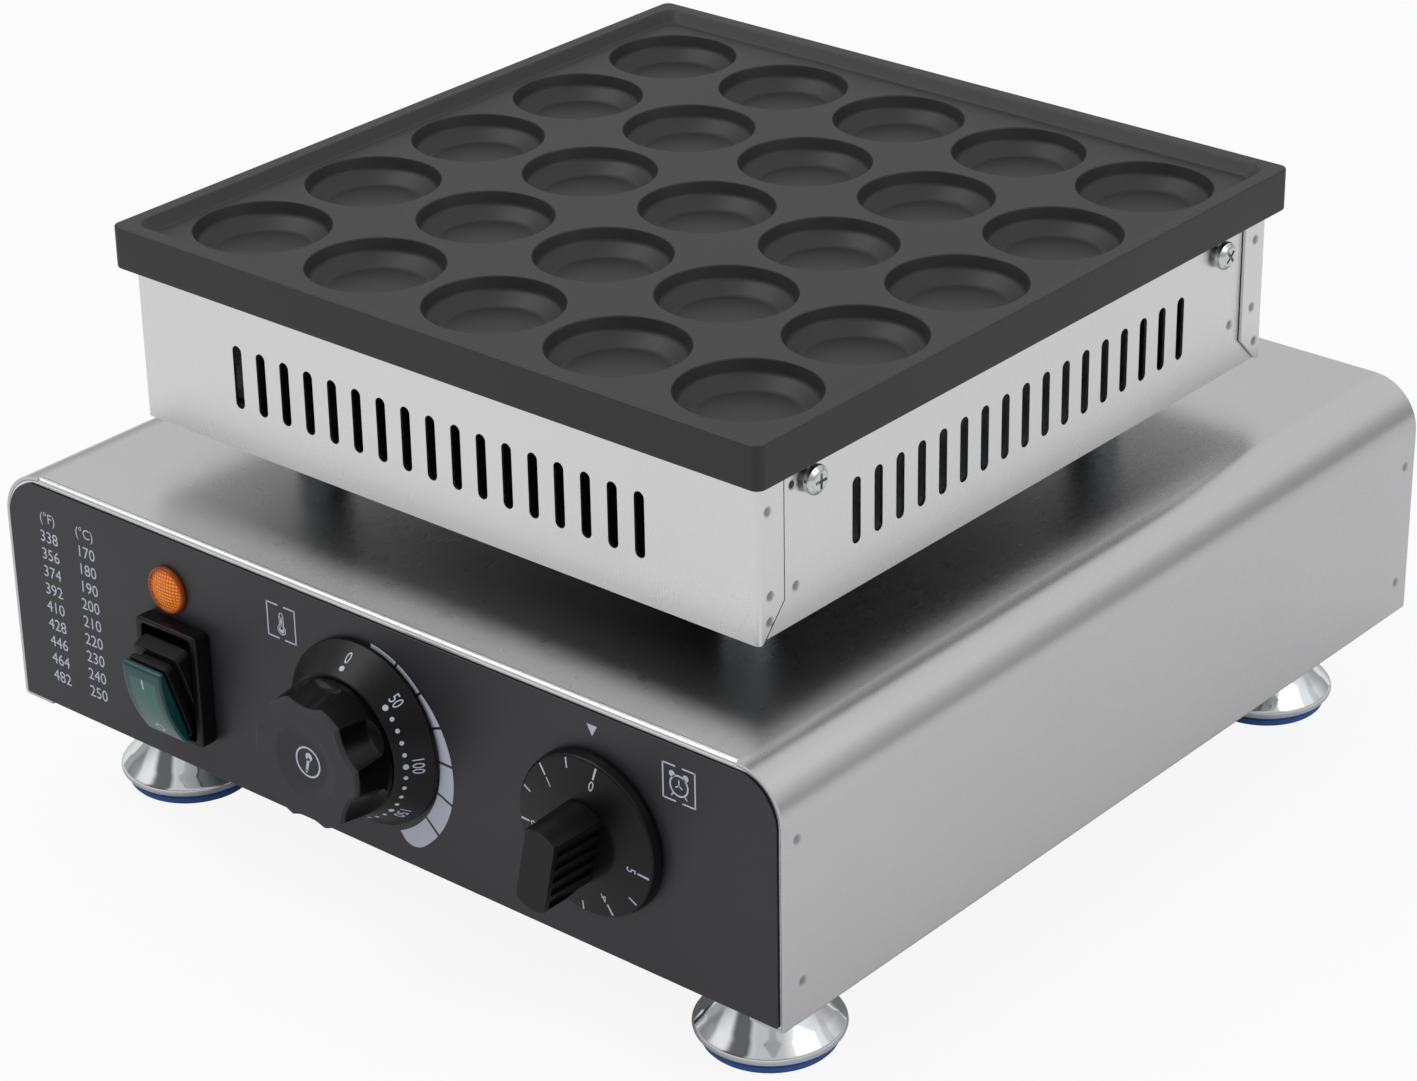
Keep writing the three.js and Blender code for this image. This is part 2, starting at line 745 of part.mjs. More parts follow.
// End panel of the base, drawn with its face at zero and +Z outward.
// Its top edge is bent back and stepped down under the shell, and its other edges are bent back.
function endPanel(name, holes) {
  const [w, t, r] = [half(baseWidth), baseSheet, baseCornerRadius];
  const outline = [
    point(-w, groundClearance), point(w, groundClearance),
    ...arc(w - r, baseTop - r, r, 0, 90, 2 * cornerSteps),
    ...arc(-w + r, baseTop - r, r, 90, 180, 2 * cornerSteps),
  ];
  const face = prism(outline, t, holes).translate(0, 0, -t);
  const strip = (low, high) => block([-w + r, low, -t - overrun], [w - r, high, overrun]);
  const trimmed = cut(face, [
    strip(baseTop - bendRadius, baseTop + overrun),
    strip(groundClearance - overrun, groundClearance + bendRadius),
  ]);
  const step = t + seat;
  const [start, far] = [bendRadius + joggleRun, turnedEdge];
  const top = [
    point(0, baseTop - bendRadius),
    point(t, baseTop - bendRadius - overrun),
    point(t, baseTop - step - t),
    point(far, baseTop - step - t),
    point(far, baseTop - step),
    point(start, baseTop - step),
    point(bendRadius, baseTop),
    ...arc(bendRadius, baseTop - bendRadius, bendRadius, 90, 180, bendSteps + 1).slice(1, -1),
  ];
  const bottom = [
    point(0, groundClearance + bendRadius),
    ...arc(bendRadius, groundClearance + bendRadius, bendRadius, 180, 270, bendSteps + 1).slice(1),
    point(far, groundClearance),
    point(far, groundClearance + t),
    point(t, groundClearance + t),
    point(t, groundClearance + bendRadius + overrun),
  ];
  const topLength = 2 * (w - r);
  const bottomLength = 2 * (w - turnedEdge - seat);
  const edge = (shape, length) => (
    prism(shape, length).rotateY(half(Math.PI)).translate(-half(length), 0, 0));
  const tabX = w - t - seat;
  const tabs = [-1, 1].map((side) => block(
    [Math.min(side * tabX, side * (tabX - t)), groundClearance + tabEndSpace, -turnedEdge],
    [Math.max(side * tabX, side * (tabX - t)), baseTop - r - half(tabEndSpace), -half(t)],
  ));
  return piece(name, 'steel', join([trimmed, edge(top, topLength), edge(bottom, bottomLength), ...tabs]));
}

const switchPlace = [switchFromEnd - half(baseWidth), panelMiddle - switchDrop];
const lampPlace = [lampFromEnd - half(baseWidth), panelMiddle + lampRise];
const dialPlace = [0, panelMiddle + dialRise];
const timerPlace = [half(baseWidth) - timerFromEnd, panelMiddle + timerRise];
const glandPlace = [glandFromEnd - half(baseWidth), panelMiddle - glandDrop];

function controlHoles() {
  const [x, y] = switchPlace;
  return [
    rectangle(switchHoleWidth, switchHoleHeight, x, y),
    circle(...lampPlace, lampStemRadius + seat, holeSteps),
    circle(...dialPlace, bushRadius + seat, holeSteps),
    circle(...timerPlace, bushRadius + seat, holeSteps),
  ];
}

// Printed overlay that covers the front panel
function controlOverlay() {
  const [w, r] = [half(baseWidth) - overlayInset, baseCornerRadius - overlayInset];
  const [low, high] = [groundClearance + bendRadius, baseTop - bendRadius];
  const lean = THREE.MathUtils.radToDeg(Math.acos((r - bendRadius + overlayInset) / r));
  const centre = baseTop - baseCornerRadius;
  const outline = [
    point(-w, low), point(w, low),
    ...arc(w - r, centre, r, 0, 90 - lean, 2 * cornerSteps),
    ...arc(-w + r, centre, r, 90 + lean, 180, 2 * cornerSteps),
  ];
  outline.forEach((p) => p.setY(Math.min(p.y, high)));
  const sheet = prism(outline, overlayThickness, controlHoles());
  return piece('control_overlay', 'overlay', sheet.translate(0, 0, -overlayThickness));
}

// Bottom plate of the base, with a tapped boss for each foot
function bottomPlate() {
  const [w, d] = [half(baseWidth) - baseSheet - seat, half(baseDepth) - panelBack - seat];
  const holes = [
    ...bottomScrewPlaces().map(([x, y]) => circle(x, y, plateScrewRadius + seat, holeSteps)),
    ...footPlaces().map(([x, y]) => circle(x, y, footStudRadius + seat, holeSteps)),
  ];
  const sheet = prism(rectangle(2 * w, 2 * d), baseSheet, holes);
  const bossTop = baseSheet + bossHeight;
  const bosses = footPlaces().map(([x, y]) => (
    tube(bossRadius, footStudRadius + seat, half(baseSheet), bossTop, holeSteps).translate(x, y, 0)));
  return piece('bottom_plate', 'zinc', asSolid(join([sheet, ...bosses])).translate([0, 0, bottomPlateLow]));
}

function bottomScrews() {
  return bottomScrewPlaces().map(([x, y]) => {
    const name = `bottom_screw_${x < 0 ? 'left' : 'right'}_${y < 0 ? 'front' : 'rear'}`;
    const reach = 2 * baseSheet + 3 * seat + screwHeadHeight;
    const screw = panScrew(name, plateScrewRadius, reach, screwHeadRadius, screwHeadHeight);
    screw.rotation.x = Math.PI;
    screw.position.set(x, y, groundClearance - seat);
    return screw;
  });
}

// Feet: a bell of plated steel with its stud, over a rubber pad
function footPlaces() {
  const x = half(baseWidth) - footInsetX;
  const [front, rear] = [footInsetFront - half(baseDepth), half(baseDepth) - footInsetRear];
  return [[-x, front], [x, front], [-x, rear], [x, rear]];
}

function foot(where, x, y) {
  const top = bottomPlateLow - seat;
  const flare = Array.from({ length: flareSteps + 1 }, (_, i) => {
    const rise = i / flareSteps;
    const radius = footNeckRadius + (footRimRadius - footNeckRadius) * (1 - rise) ** 2;
    return [radius, footRimHeight + (top - footRimHeight) * rise];
  });
  const bell = turned([
    [0, footPlugHeight + seat],
    [footPlugRadius + seat, footPlugHeight + seat],
    [footPlugRadius + seat, footLipHeight],
    [footRimRadius - footLipInset, footLipHeight],
    [footRimRadius, half(footLipHeight + footRimHeight)],
    ...flare,
    [footStudRadius, top],
    [footStudRadius, top + footStudReach],
    [0, top + footStudReach],
  ]);
  const lip = footLipHeight - seat;
  const pad = turned([
    [0, 0],
    [footPadRadius - half(lip), 0],
    [footPadRadius, half(lip)],
    [footPadRadius, lip],
    [footPlugRadius, lip],
    [footPlugRadius, footPlugHeight],
    [0, footPlugHeight],
  ]);
  const parts = [piece(`foot_${where}`, 'chrome', bell), piece(`foot_pad_${where}`, 'blue', pad)];
  parts.forEach((part) => part.position.set(x, y, 0));
  return parts;
}

function feet() {
  const names = ['left_front', 'right_front', 'left_rear', 'right_rear'];
  return footPlaces().flatMap(([x, y], i) => foot(names[i], x, y));
}

// A control behind the panel, its threaded bush through the panel and its turning shaft
function shaftControl(name, width, height, depth) {
  const back = -panelBack - seat;
  const body = join([
    block([-half(width), -half(height), back - depth], [half(width), half(height), back]),
    rod(bushRadius, back - overrun, -seat, holeSteps),
  ]);
  const bore = rod(shaftRadius + seat, back - half(depth), overrun, smallRoundSteps);
  const shaft = rod(shaftRadius, back - half(depth) + seat, shaftReach, smallRoundSteps);
  return [piece(`${name}_body`, 'zinc', cut(body, [bore])), piece(`${name}_shaft`, 'zinc', shaft)];
}

// Round knob with finger flutes; the hub fits inside the dial ring
function fluted(radius, depth) {
  const count = fluteCount * fluteSteps;
  return Array.from({ length: count }, (_, i) => {
    const angle = (2 * Math.PI * i) / count;
    const flute = Math.sin(half(fluteCount) * angle) ** fluteSharpness;
    const reach = radius - depth * flute;
    return point(reach * Math.cos(angle), reach * Math.sin(angle));
  });
}

function thermostatKnob() {
  const low = dialTopHeight + seat;
  const grip = stack([
    [fluted(knobBaseRadius, 0), low],
    [fluted(knobBaseRadius, half(fluteDepth)), low + knobEdge],
    [fluted(knobFaceRadius, fluteDepth), knobReach - knobEdge],
    [fluted(knobFaceRadius - knobEdge, fluteDepth), knobReach],
  ]);
  const hub = rod(dialHubRadius - seat, running, low + overrun);
  const socket = rod(shaftRadius + seat, 0, shaftReach + seat, smallRoundSteps);
  const dish = turned([
    [0, knobReach - knobDishDepth],
    [half(knobDishRadius), knobReach - knobDishDepth],
    [knobDishRadius, knobReach],
    [knobDishRadius, knobReach + overrun],
    [0, knobReach + overrun],
  ]);
  return piece('thermostat_knob', 'black', cut(join([grip, hub]), [socket, dish]));
}

function thermostat() {
  const dial = turned([
    [dialHubRadius, running],
    [dialRimRadius, running],
    [dialRimRadius, dialRimHeight],
    [dialTopRadius, dialTopHeight],
    [dialHubRadius, dialTopHeight],
    [dialHubRadius, running],
  ], dialSteps);
  return [
    ...shaftControl('thermostat', thermostatWidth, thermostatHeight, thermostatDepth),
    piece('thermostat_dial', 'black', dial),
    thermostatKnob(),
  ];
}

// Timer knob: a domed disc and a ribbed bar grip in one moulding
function timerKnob() {
  const disc = turned([
    [0, running],
    [timerDiscRadius, running],
    [timerDiscRadius, timerDiscEdge],
    [timerDiscRadius - timerDiscInset, timerDiscRim],
    [half(timerDiscRadius), timerDiscDome],
    [0, timerDiscDome],
  ], dialSteps);
  const layer = (width, length, shift) => (
    roundedRectangle(width, length, gripEdge, bendSteps).map((p) => point(p.x, p.y - shift)));
  const grip = stack([
    [layer(gripBaseWidth, gripBaseLength, 0), timerDiscRim],
    [layer(gripWidth, gripLength, gripShift), gripReach - gripEdge],
    [layer(gripWidth - gripEdge, gripLength - gripEdge, gripShift), gripReach],
  ]);
  const grooves = row(gripGrooveCount, gripGroovePitch).flatMap((y) => [-1, 1].map((side) => {
    const [x0, x1] = [side * (half(gripWidth) - gripGrooveDepth), side * gripBaseWidth];
    const centre = y - gripShift;
    return block(
      [Math.min(x0, x1), centre - half(gripGrooveWidth), timerDiscDome + seat],
      [Math.max(x0, x1), centre + half(gripGrooveWidth), gripReach - 2 * gripEdge],
    );
  }));
  const socket = rod(shaftRadius + seat, 0, shaftReach + seat, smallRoundSteps);
  const knob = piece('timer_knob', 'black', cut(join([disc, cut(grip, grooves)]), [socket]));
  knob.rotation.z = -degrees(timerRestAngle);
  return knob;
}

function timer() {
  return [...shaftControl('timer', timerBodySize, timerBodySize, timerBodyDepth), timerKnob()];
}

// Power switch: a frame on the panel, a body behind it, and a rocker in a rubber boot
function powerSwitch() {
  const outside = roundedRectangle(switchFrameWidth, switchFrameHeight, switchFrameCorner);
  const opening = rectangle(switchHoleWidth, switchHoleHeight);
  const surround = prism(outside, switchFrameDepth, [opening]).translate(0, 0, seat);
  const back = -panelBack - seat;
  const [w, h] = [half(switchHoleWidth) - seat, half(switchHoleHeight) - seat];
  const flange = [w + switchFrameWall, h + switchFrameWall];
  const [stemX, stemY] = [half(rockerStemWidth) + seat, rockerStemDepth + seat];
  const stemSweep = Math.hypot(rockerStemReach, half(rockerStemDepth)) + running;
  const body = cut(join([
    block([-flange[0], -flange[1], back - switchBodyFlange], [flange[0], flange[1], back]),
    block([-w, -h, back - switchBodyDepth], [w, h, back - half(switchBodyFlange)]),
  ]), [block([-stemX, -stemY, -stemSweep], [stemX, stemY, overrun])]);
  const tilted = new THREE.Group();
  tilted.rotation.x = degrees(rockerTilt);
  tilted.add(rocker(), rubberBoot());
  return [piece('switch_frame', 'black', surround), piece('switch_body', 'black', body), tilted];
}

function rocker() {
  const [l, low, edge] = [half(rockerLength), rockerReach - rockerSide, rockerReach - rockerCrown];
  const crown = Array.from({ length: crownSteps + 1 }, (_, i) => {
    const across = 1 - (2 * i) / crownSteps;
    return point(l * across, edge + rockerCrown * (1 - across ** 2));
  });
  const cap = prism([point(-l, low), point(l, low), ...crown], rockerWidth);
  cap.rotateX(half(Math.PI)).rotateZ(half(Math.PI)).translate(-half(rockerWidth), 0, 0);
  const [w, d] = [half(rockerStemWidth), half(rockerStemDepth)];
  const stem = block([-w, -d, -rockerStemReach], [w, d, low + overrun]);
  return piece('switch_rocker', 'green', join([cap, stem]));
}

function rubberBoot() {
  const upper = [bootWidth - 2 * bootUpperInset, bootLength - 2 * bootUpperInset];
  const waist = upper.map((size) => size - 2 * bootGrooveDepth);
  const tiers = [
    [bootWidth, bootLength, bootFoot, bootRib],
    [...waist, bootFoot + bootRib, bootGroove],
    [...upper, bootFoot + bootRib + bootGroove, bootRib],
  ];
  const ribs = tiers.map(([width, length, low, height]) => (
    prism(roundedRectangle(width, length, bootCorner), height).translate(0, 0, low)));
  const [w, d] = [half(rockerStemWidth) + seat, half(rockerStemDepth) + seat];
  const top = bootFoot + 2 * bootRib + bootGroove;
  return piece('switch_boot', 'rubber', cut(join(ribs), [block([-w, -d, 0], [w, d, top + overrun])]));
}

// Pilot lamp: an amber lens in front of the panel and a holder behind it
function pilotLamp() {
  const back = -panelBack - seat;
  const crown = lampRadius - lampEdge;
  const lens = turned([
    [0, -panelBack],
    [lampStemRadius, -panelBack],
    [lampStemRadius, seat],
    [lampRadius, seat],
    [lampRadius, lampEdge],
    [crown, half(lampReach + lampEdge)],
    [half(crown), lampReach],
    [0, lampReach],
  ]);
  const holder = rod(lampBodyRadius, back - lampBodyDepth, back);
  return [piece('pilot_lens', 'amber', lens), piece('pilot_body', 'black', holder)];
}

// Cable gland: a hex body through the rear panel and a domed cap, both open for the cable
function cableGland() {
  const hexTop = seat + glandHexHeight;
  const hex = prism(circle(0, 0, glandHexRadius, hexSides), glandHexHeight).translate(0, 0, seat);
  const thread = rod(glandThreadRadius, -panelBack - glandInside, hexTop + glandNeck);
  const bore = rod(glandBoreRadius, -panelBack - glandInside - overrun, hexTop + glandNeck + overrun);
  const capLow = hexTop + seat;
  const shoulder = hexTop + glandNeck + seat;
  const cap = turned([
    [glandThreadRadius + seat, capLow],
    [glandCapRadius, capLow],
    [glandCapRadius, glandReach - glandCapWall],
    [glandCapRadius - glandCapWall, glandReach],
    [glandCapBoreRadius, glandReach],
    [glandCapBoreRadius, shoulder],
    [glandThreadRadius + seat, shoulder],
    [glandThreadRadius + seat, capLow],
  ]);
  return [piece('gland_body', 'black', cut(join([hex, thread]), [bore])), piece('gland_cap', 'black', cap)];
}

// Terminal block on the bottom plate, with a groove between its poles
function terminalBlock() {
  const [w, d] = [half(terminalWidth), half(terminalDepth)];
  const low = bottomPlateTop + seat;
  const top = low + terminalHeight;
  const grooves = row(terminalPoles - 1, terminalWidth / terminalPoles).map((x) => block(
    [x - half(terminalGrooveWidth), -d - overrun, top - terminalGrooveDepth],
    [x + half(terminalGrooveWidth), d + overrun, top + overrun],
  ));
  const terminal = piece('terminal_block', 'white', cut(block([-w, -d, low], [w, d, top]), grooves));
  terminal.position.y = half(baseDepth) - terminalFromRear;
  return terminal;
}

// Assembly
function place(parts, [x, y], z = 0) {
  const group = new THREE.Group();
  group.position.set(x, y, z);
  group.add(...parts);
  return group;
}

function frontFace() {
  const face = new THREE.Group();
  face.rotation.x = half(Math.PI);
  face.position.y = -half(baseDepth);
  const panel = endPanel('front_panel', controlHoles());
  panel.position.z = -panelFace;
  face.add(
    panel,
    controlOverlay(),
    place(powerSwitch(), switchPlace),
    place(pilotLamp(), lampPlace),
    place(thermostat(), dialPlace),
    place(timer(), timerPlace),
  );
  return face;
}

function rearFace() {
  const face = new THREE.Group();
  face.rotation.set(half(Math.PI), Math.PI, 0);
  face.position.y = half(baseDepth);
  const holes = [
    circle(...glandPlace, glandThreadRadius + seat, holeSteps),
    ...row(rearSlotCount, slotPitch).map((x) => slotOutline(x, panelMiddle)),
  ];
  face.add(endPanel('rear_panel', holes), place(cableGland(), glandPlace));
  return face;
}

function base() {
  const group = new THREE.Group();
  group.add(baseShell(), bottomPlate(), terminalBlock(), ...bottomScrews(), ...feet());
  group.add(frontFace(), rearFace());
  return group;
}

function upper() {
  const group = new THREE.Group();
  group.position.set(0, -upperForward, housingBottom);
  group.add(bakingPlate(), ...plateScrews(), ...housingWalls(), housingFloor(), ...pillars(), wireSleeve());
  group.add(heatingElement(), ...elementClamp(), heatShield(), sensor(), ...heaterLeads());
  return group;
}

const pancakeMaker = new THREE.Group();
pancakeMaker.position.y = bodyShift;
pancakeMaker.add(base(), upper());

export default pancakeMaker;
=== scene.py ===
# %% [markdown]
# # A mini pancake maker with 25 wells
# A coated casting with a grid of round wells stands on a vented steel housing. The housing stands
# on four pillars on a steel base with a power switch, a lamp, a thermostat and a timer, on bell
# feet. The solids come packed from the CAD model. This notebook dresses them: each cell makes one
# piece or one finish, in the same frame as the solids, so every piece goes where the CAD says.

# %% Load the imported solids
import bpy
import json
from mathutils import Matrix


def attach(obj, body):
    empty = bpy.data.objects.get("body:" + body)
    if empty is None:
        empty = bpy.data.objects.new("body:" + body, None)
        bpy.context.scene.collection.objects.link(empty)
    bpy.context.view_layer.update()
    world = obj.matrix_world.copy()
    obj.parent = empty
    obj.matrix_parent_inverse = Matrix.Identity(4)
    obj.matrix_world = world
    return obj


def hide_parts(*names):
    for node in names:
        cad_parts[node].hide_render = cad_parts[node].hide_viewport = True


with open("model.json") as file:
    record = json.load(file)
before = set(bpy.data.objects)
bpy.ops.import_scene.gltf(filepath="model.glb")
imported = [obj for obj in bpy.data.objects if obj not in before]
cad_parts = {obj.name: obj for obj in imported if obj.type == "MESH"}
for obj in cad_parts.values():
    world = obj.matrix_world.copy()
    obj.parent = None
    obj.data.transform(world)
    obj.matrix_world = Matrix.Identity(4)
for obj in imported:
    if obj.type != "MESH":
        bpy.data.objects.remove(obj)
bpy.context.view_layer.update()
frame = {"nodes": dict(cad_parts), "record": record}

# %% What Python and Blender bring
import json
from math import asin, atan2, cos, pi, radians, sin, tan

import bmesh
import bpy
from mathutils import Matrix, Vector

# %% [markdown]
# ## Units and the sizes that everything hangs on
# Blender works in metres. A maker of kitchen machines works in millimetres, so the sizes below are
# in millimetres and every helper turns them to metres itself. Points closer than `JOIN` are one.

# %% Main sizes of the machine, in millimetres
MM = 0.001
JOIN = 0.001 * MM
BASE_WIDTH, BASE_LOW, BASE_TOP, BASE_CORNER = 345, 37, 126, 18
FRONT, REAR = -175.75, 180.25
PANEL_MIDDLE = (BASE_LOW + BASE_TOP) / 2
HOUSING_WIDTH, HOUSING_DEPTH, HOUSING_LOW, HOUSING_TOP = 270, 274.4, 143, 198
PLATE_WIDTH, PLATE_DEPTH, PLATE_TOP = 280, 285, 213.2
MIDDLE = -3.15
SHEET, BASE_SHEET, BEND = 1, 1.2, 1.6
GAP = 0.3
print("height", PLATE_TOP, "width", BASE_WIDTH, "depth", REAR - FRONT)

# %% [markdown]
# ## The camera
# The photograph was taken from the front right, a little above, with a long lens. The place and
# the angles were worked out from the straight edges of the object. The camera looks along its own
# -Z, so the three axes of its turn are: right, up, and the opposite of where it looks. The Standard
# view shows each colour as it is, without a film curve.

# %% Camera
EYE = Vector((0.81538, -0.95748, 0.71471))
YAW, PITCH, ROLL = 0.70813, 0.46628, -0.01703
look = Vector((-sin(YAW) * cos(PITCH), cos(YAW) * cos(PITCH), -sin(PITCH)))
level = look.cross(Vector((0, 0, 1))).normalized()
rise = level.cross(look)
right = cos(ROLL) * level + sin(ROLL) * rise
up = cos(ROLL) * rise - sin(ROLL) * level
SENSOR, FOCAL = 36, 101.53
lens = bpy.data.cameras.new("camera")
lens.sensor_width, lens.lens = SENSOR, FOCAL
camera = bpy.data.objects.new("camera", lens)
bpy.context.scene.collection.objects.link(camera)
turn = Matrix((right, up, -look)).transposed().to_4x4()
camera.matrix_world = Matrix.Translation(EYE) @ turn
bpy.context.scene.camera = camera
bpy.context.scene.view_settings.view_transform = "Standard"
print("camera looks along", tuple(round(v, 3) for v in look))

# %% [markdown]
# ## Working by hand, in code
# Every mesh operator acts on all that is selected, so each piece starts with nothing selected.
# These helpers are the few moves that a modeller repeats: pick up a piece, copy it, go into edit
# mode, set a piece in its place and apply a modifier. The place is applied to the mesh at once, so
# the object itself always stays at the origin, as the solids do.

# %% Pick up, copy, edit, leave, place and modify
def clear():
    """Back to object mode with nothing selected."""
    if bpy.context.object and bpy.context.object.mode != "OBJECT":
        bpy.ops.object.mode_set(mode="OBJECT")
    bpy.ops.object.select_all(action="DESELECT")


def take(piece):
    """Only this piece selected and active."""
    clear()
    piece.select_set(True)
    bpy.context.view_layer.objects.active = piece
    return piece


def copy_of(piece):
    take(piece)
    bpy.ops.object.duplicate()
    return bpy.context.object


def edit(piece, mode="FACE"):
    """Edit mode on one piece with nothing in it selected."""
    take(piece)
    bpy.ops.object.mode_set(mode="EDIT")
    bpy.ops.mesh.select_mode(type=mode)
    bpy.ops.mesh.select_all(action="DESELECT")


def leave():
    bpy.ops.object.mode_set(mode="OBJECT")


def place(piece, at=(0, 0, 0), turn=(0, 0, 0)):
    """Turns a piece by degrees about X, Y and Z, moves it, and applies both to its mesh."""
    take(piece)
    piece.rotation_euler = [radians(angle) for angle in turn]
    piece.location = Vector(at) * MM
    bpy.ops.object.transform_apply(location=True, rotation=True, scale=True)
    return piece


def modify(piece, kind, **settings):
    """Adds one modifier to a piece and applies it."""
    take(piece)
    step = piece.modifiers.new("step", kind)
    for name, value in settings.items():
        setattr(step, name, value)
    bpy.ops.object.modifier_apply(modifier=step.name)
    return piece


# %% [markdown]
# Faces and edges are picked by where they are and which way they face, never by their number,
# because numbers change with every edit.

# %% Pick faces and edges by place
def pick_faces(piece, wanted):
    """Selects the faces whose centre, in millimetres, and normal are wanted."""
    shape = bmesh.from_edit_mesh(piece.data)
    for face in shape.faces:
        face.select_set(bool(wanted(face.calc_center_median() / MM, face.normal)))
    shape.select_flush_mode()
    bmesh.update_edit_mesh(piece.data)
    return sum(face.select for face in shape.faces)


def pick_edges(piece, wanted):
    """Selects the edges whose two ends, in millimetres, are wanted."""
    shape = bmesh.from_edit_mesh(piece.data)
    for edge in shape.edges:
        edge.select_set(bool(wanted(*[end.co / MM for end in edge.verts])))
    shape.select_flush_mode()
    bmesh.update_edit_mesh(piece.data)
    return sum(edge.select for edge in shape.edges)


def standing(a, b):
    """An edge that runs straight up."""
    return abs(a.x - b.x) < 0.01 and abs(a.y - b.y) < 0.01 and abs(a.z - b.z) > 0.1


# %% [markdown]
# ## Outlines with rounded corners
# Most pieces here are an outline that is turned, folded or drawn out. A corner may carry a radius,
# and `eased` puts an arc there. Each real edge has such a small radius, and it is what catches
# the light.

# %% Outlines
def eased(corners, closed=False, steps=6):
    """Points through corners of (a, b) or (a, b, radius), with an arc for each radius."""
    points = []
    for i, corner in enumerate(corners):
        here, radius = Vector(corner[:2]), corner[2] if len(corner) > 2 else 0
        if not radius or (not closed and i in (0, len(corners) - 1)):
            points.append(here)
            continue
        back = (Vector(corners[i - 1][:2]) - here).normalized()
        on = (Vector(corners[(i + 1) % len(corners)][:2]) - here).normalized()
        wide = back.angle(on) / 2
        middle = here + (back + on).normalized() * (radius / sin(wide))
        start = here + back * (radius / tan(wide)) - middle
        end = here + on * (radius / tan(wide)) - middle
        first = atan2(start.y, start.x)
        sweep = (atan2(end.y, end.x) - first + pi) % (2 * pi) - pi
        for step in range(steps + 1):
            angle = first + sweep * step / steps
            points.append(middle + Vector((cos(angle), sin(angle))) * radius)
    return points


def rectangle(width, height, radius=0, steps=6):
    """A rectangle about the middle, its corners rounded by the radius."""
    w, h = width / 2, height / 2
    corners = [(-w, -h, radius), (w, -h, radius), (w, h, radius), (-w, h, radius)]
    return eased(corners, closed=True, steps=steps)


def circle(radius, steps=48):
    turns = [2 * pi * i / steps for i in range(steps)]
    return [Vector((cos(angle), sin(angle))) * radius for angle in turns]


# %% [markdown]
# ## Drawing, turning and drawing out
# A pen starts as a plane merged to one vertex, and each point of the path is one extrusion of the
# last vertex. Spin turns such a path into a round piece. Its first and last copy lie on each
# other, so doubles are merged before the normals are made to point outwards.

# %% Draw, lathe and prism
def draw(name, points, closed=False):
    """A wire through points of (x, y, z). It is left in edit mode, all selected."""
    clear()
    bpy.ops.mesh.primitive_plane_add(size=MM)
    piece = bpy.context.object
    piece.name = name
    bpy.ops.object.mode_set(mode="EDIT")
    bpy.ops.mesh.select_mode(type="VERT")
    bpy.ops.mesh.select_all(action="SELECT")
    bpy.ops.mesh.merge(type="CENTER")
    path = [Vector(p) * MM for p in points]
    bpy.ops.transform.translate(value=path[0])
    for a, b in zip(path, [*path[1:], path[0]] if closed else path[1:]):
        bpy.ops.mesh.extrude_vertices_move(TRANSFORM_OT_translate={"value": b - a})
    bpy.ops.mesh.select_all(action="SELECT")
    bpy.ops.mesh.remove_doubles(threshold=JOIN)
    return piece


def face_out():
    """Merges doubles and turns all faces outwards, on the piece in edit mode."""
    bpy.ops.mesh.select_all(action="SELECT")
    bpy.ops.mesh.remove_doubles(threshold=JOIN)
    bpy.ops.mesh.normals_make_consistent(inside=False)
    leave()


def lathe(name, profile, steps=64, closed=False):
    """A profile of radius and height, turned round Z."""
    piece = draw(name, [(r, 0, z) for r, z in profile], closed)
    bpy.ops.mesh.spin(steps=steps, angle=2 * pi, center=(0, 0, 0), axis=(0, 0, 1))
    face_out()
    return piece


def prism(name, outline, depth):
    """An outline in X and Y, filled and drawn out along Z."""
    piece = draw(name, [(x, y, 0) for x, y in outline], closed=True)
    bpy.ops.mesh.edge_face_add()
    bpy.ops.mesh.extrude_region_move(TRANSFORM_OT_translate={"value": (0, 0, depth * MM)})
    face_out()
    return piece


# %% [markdown]
# A row of slots or a ring of flutes is made as in a workshop: one cutter, copied to each of its
# places, and all of them taken out of the piece.

# %% Box, join, repeat and cut
def box(name, low, high):
    """A cube at its size and place, a start for other shapes."""
    clear()
    low, high = Vector(low) * MM, Vector(high) * MM
    bpy.ops.mesh.primitive_cube_add(size=1, location=(low + high) / 2, scale=high - low)
    bpy.ops.object.transform_apply(location=True, rotation=True, scale=True)
    bpy.context.object.name = name
    return bpy.context.object


def join(name, *pieces):
    """Several pieces as one mesh."""
    take(pieces[0])
    for piece in pieces[1:]:
        piece.select_set(True)
    bpy.ops.object.join()
    bpy.context.object.name = name
    return bpy.context.object


def repeat(name, piece, shifts):
    """One piece copied to each shift, joined. The first piece is used up."""
    parts = [place(copy_of(piece), shift) for shift in shifts]
    bpy.data.objects.remove(piece)
    return join(name, *parts)


def around(piece, count, first=0):
    """Copies of one piece, evenly turned about Z. The first piece is used up."""
    parts = [place(copy_of(piece), turn=(0, 0, first + 360 * i / count)) for i in range(count)]
    bpy.data.objects.remove(piece)
    return parts


def cut(piece, *cutters):
    """Takes the cutters' space out of a piece, and uses the cutters up."""
    for cutter in cutters:
        modify(piece, "BOOLEAN", operation="DIFFERENCE", object=cutter, solver="EXACT")
        bpy.data.objects.remove(cutter)
    return piece


def row(count, pitch):
    """Evenly spaced places about the middle."""
    return [(i - (count - 1) / 2) * pitch for i in range(count)]


CORNERS = [
    (f"{word}_{end}", side, way)
    for side, word in ((-1, "left"), (1, "right")) for way, end in ((-1, "front"), (1, "rear"))
]
print("corners", [word for word, side, way in CORNERS])

# %% [markdown]
# ## Finishing a piece
# Smooth shading runs over edges that turn less than an angle, and a weighted normal keeps large
# flat faces flat beside their rounded edges. Then the piece gets its finish, stands for the solid
# that it replaces and rides on that solid's body.


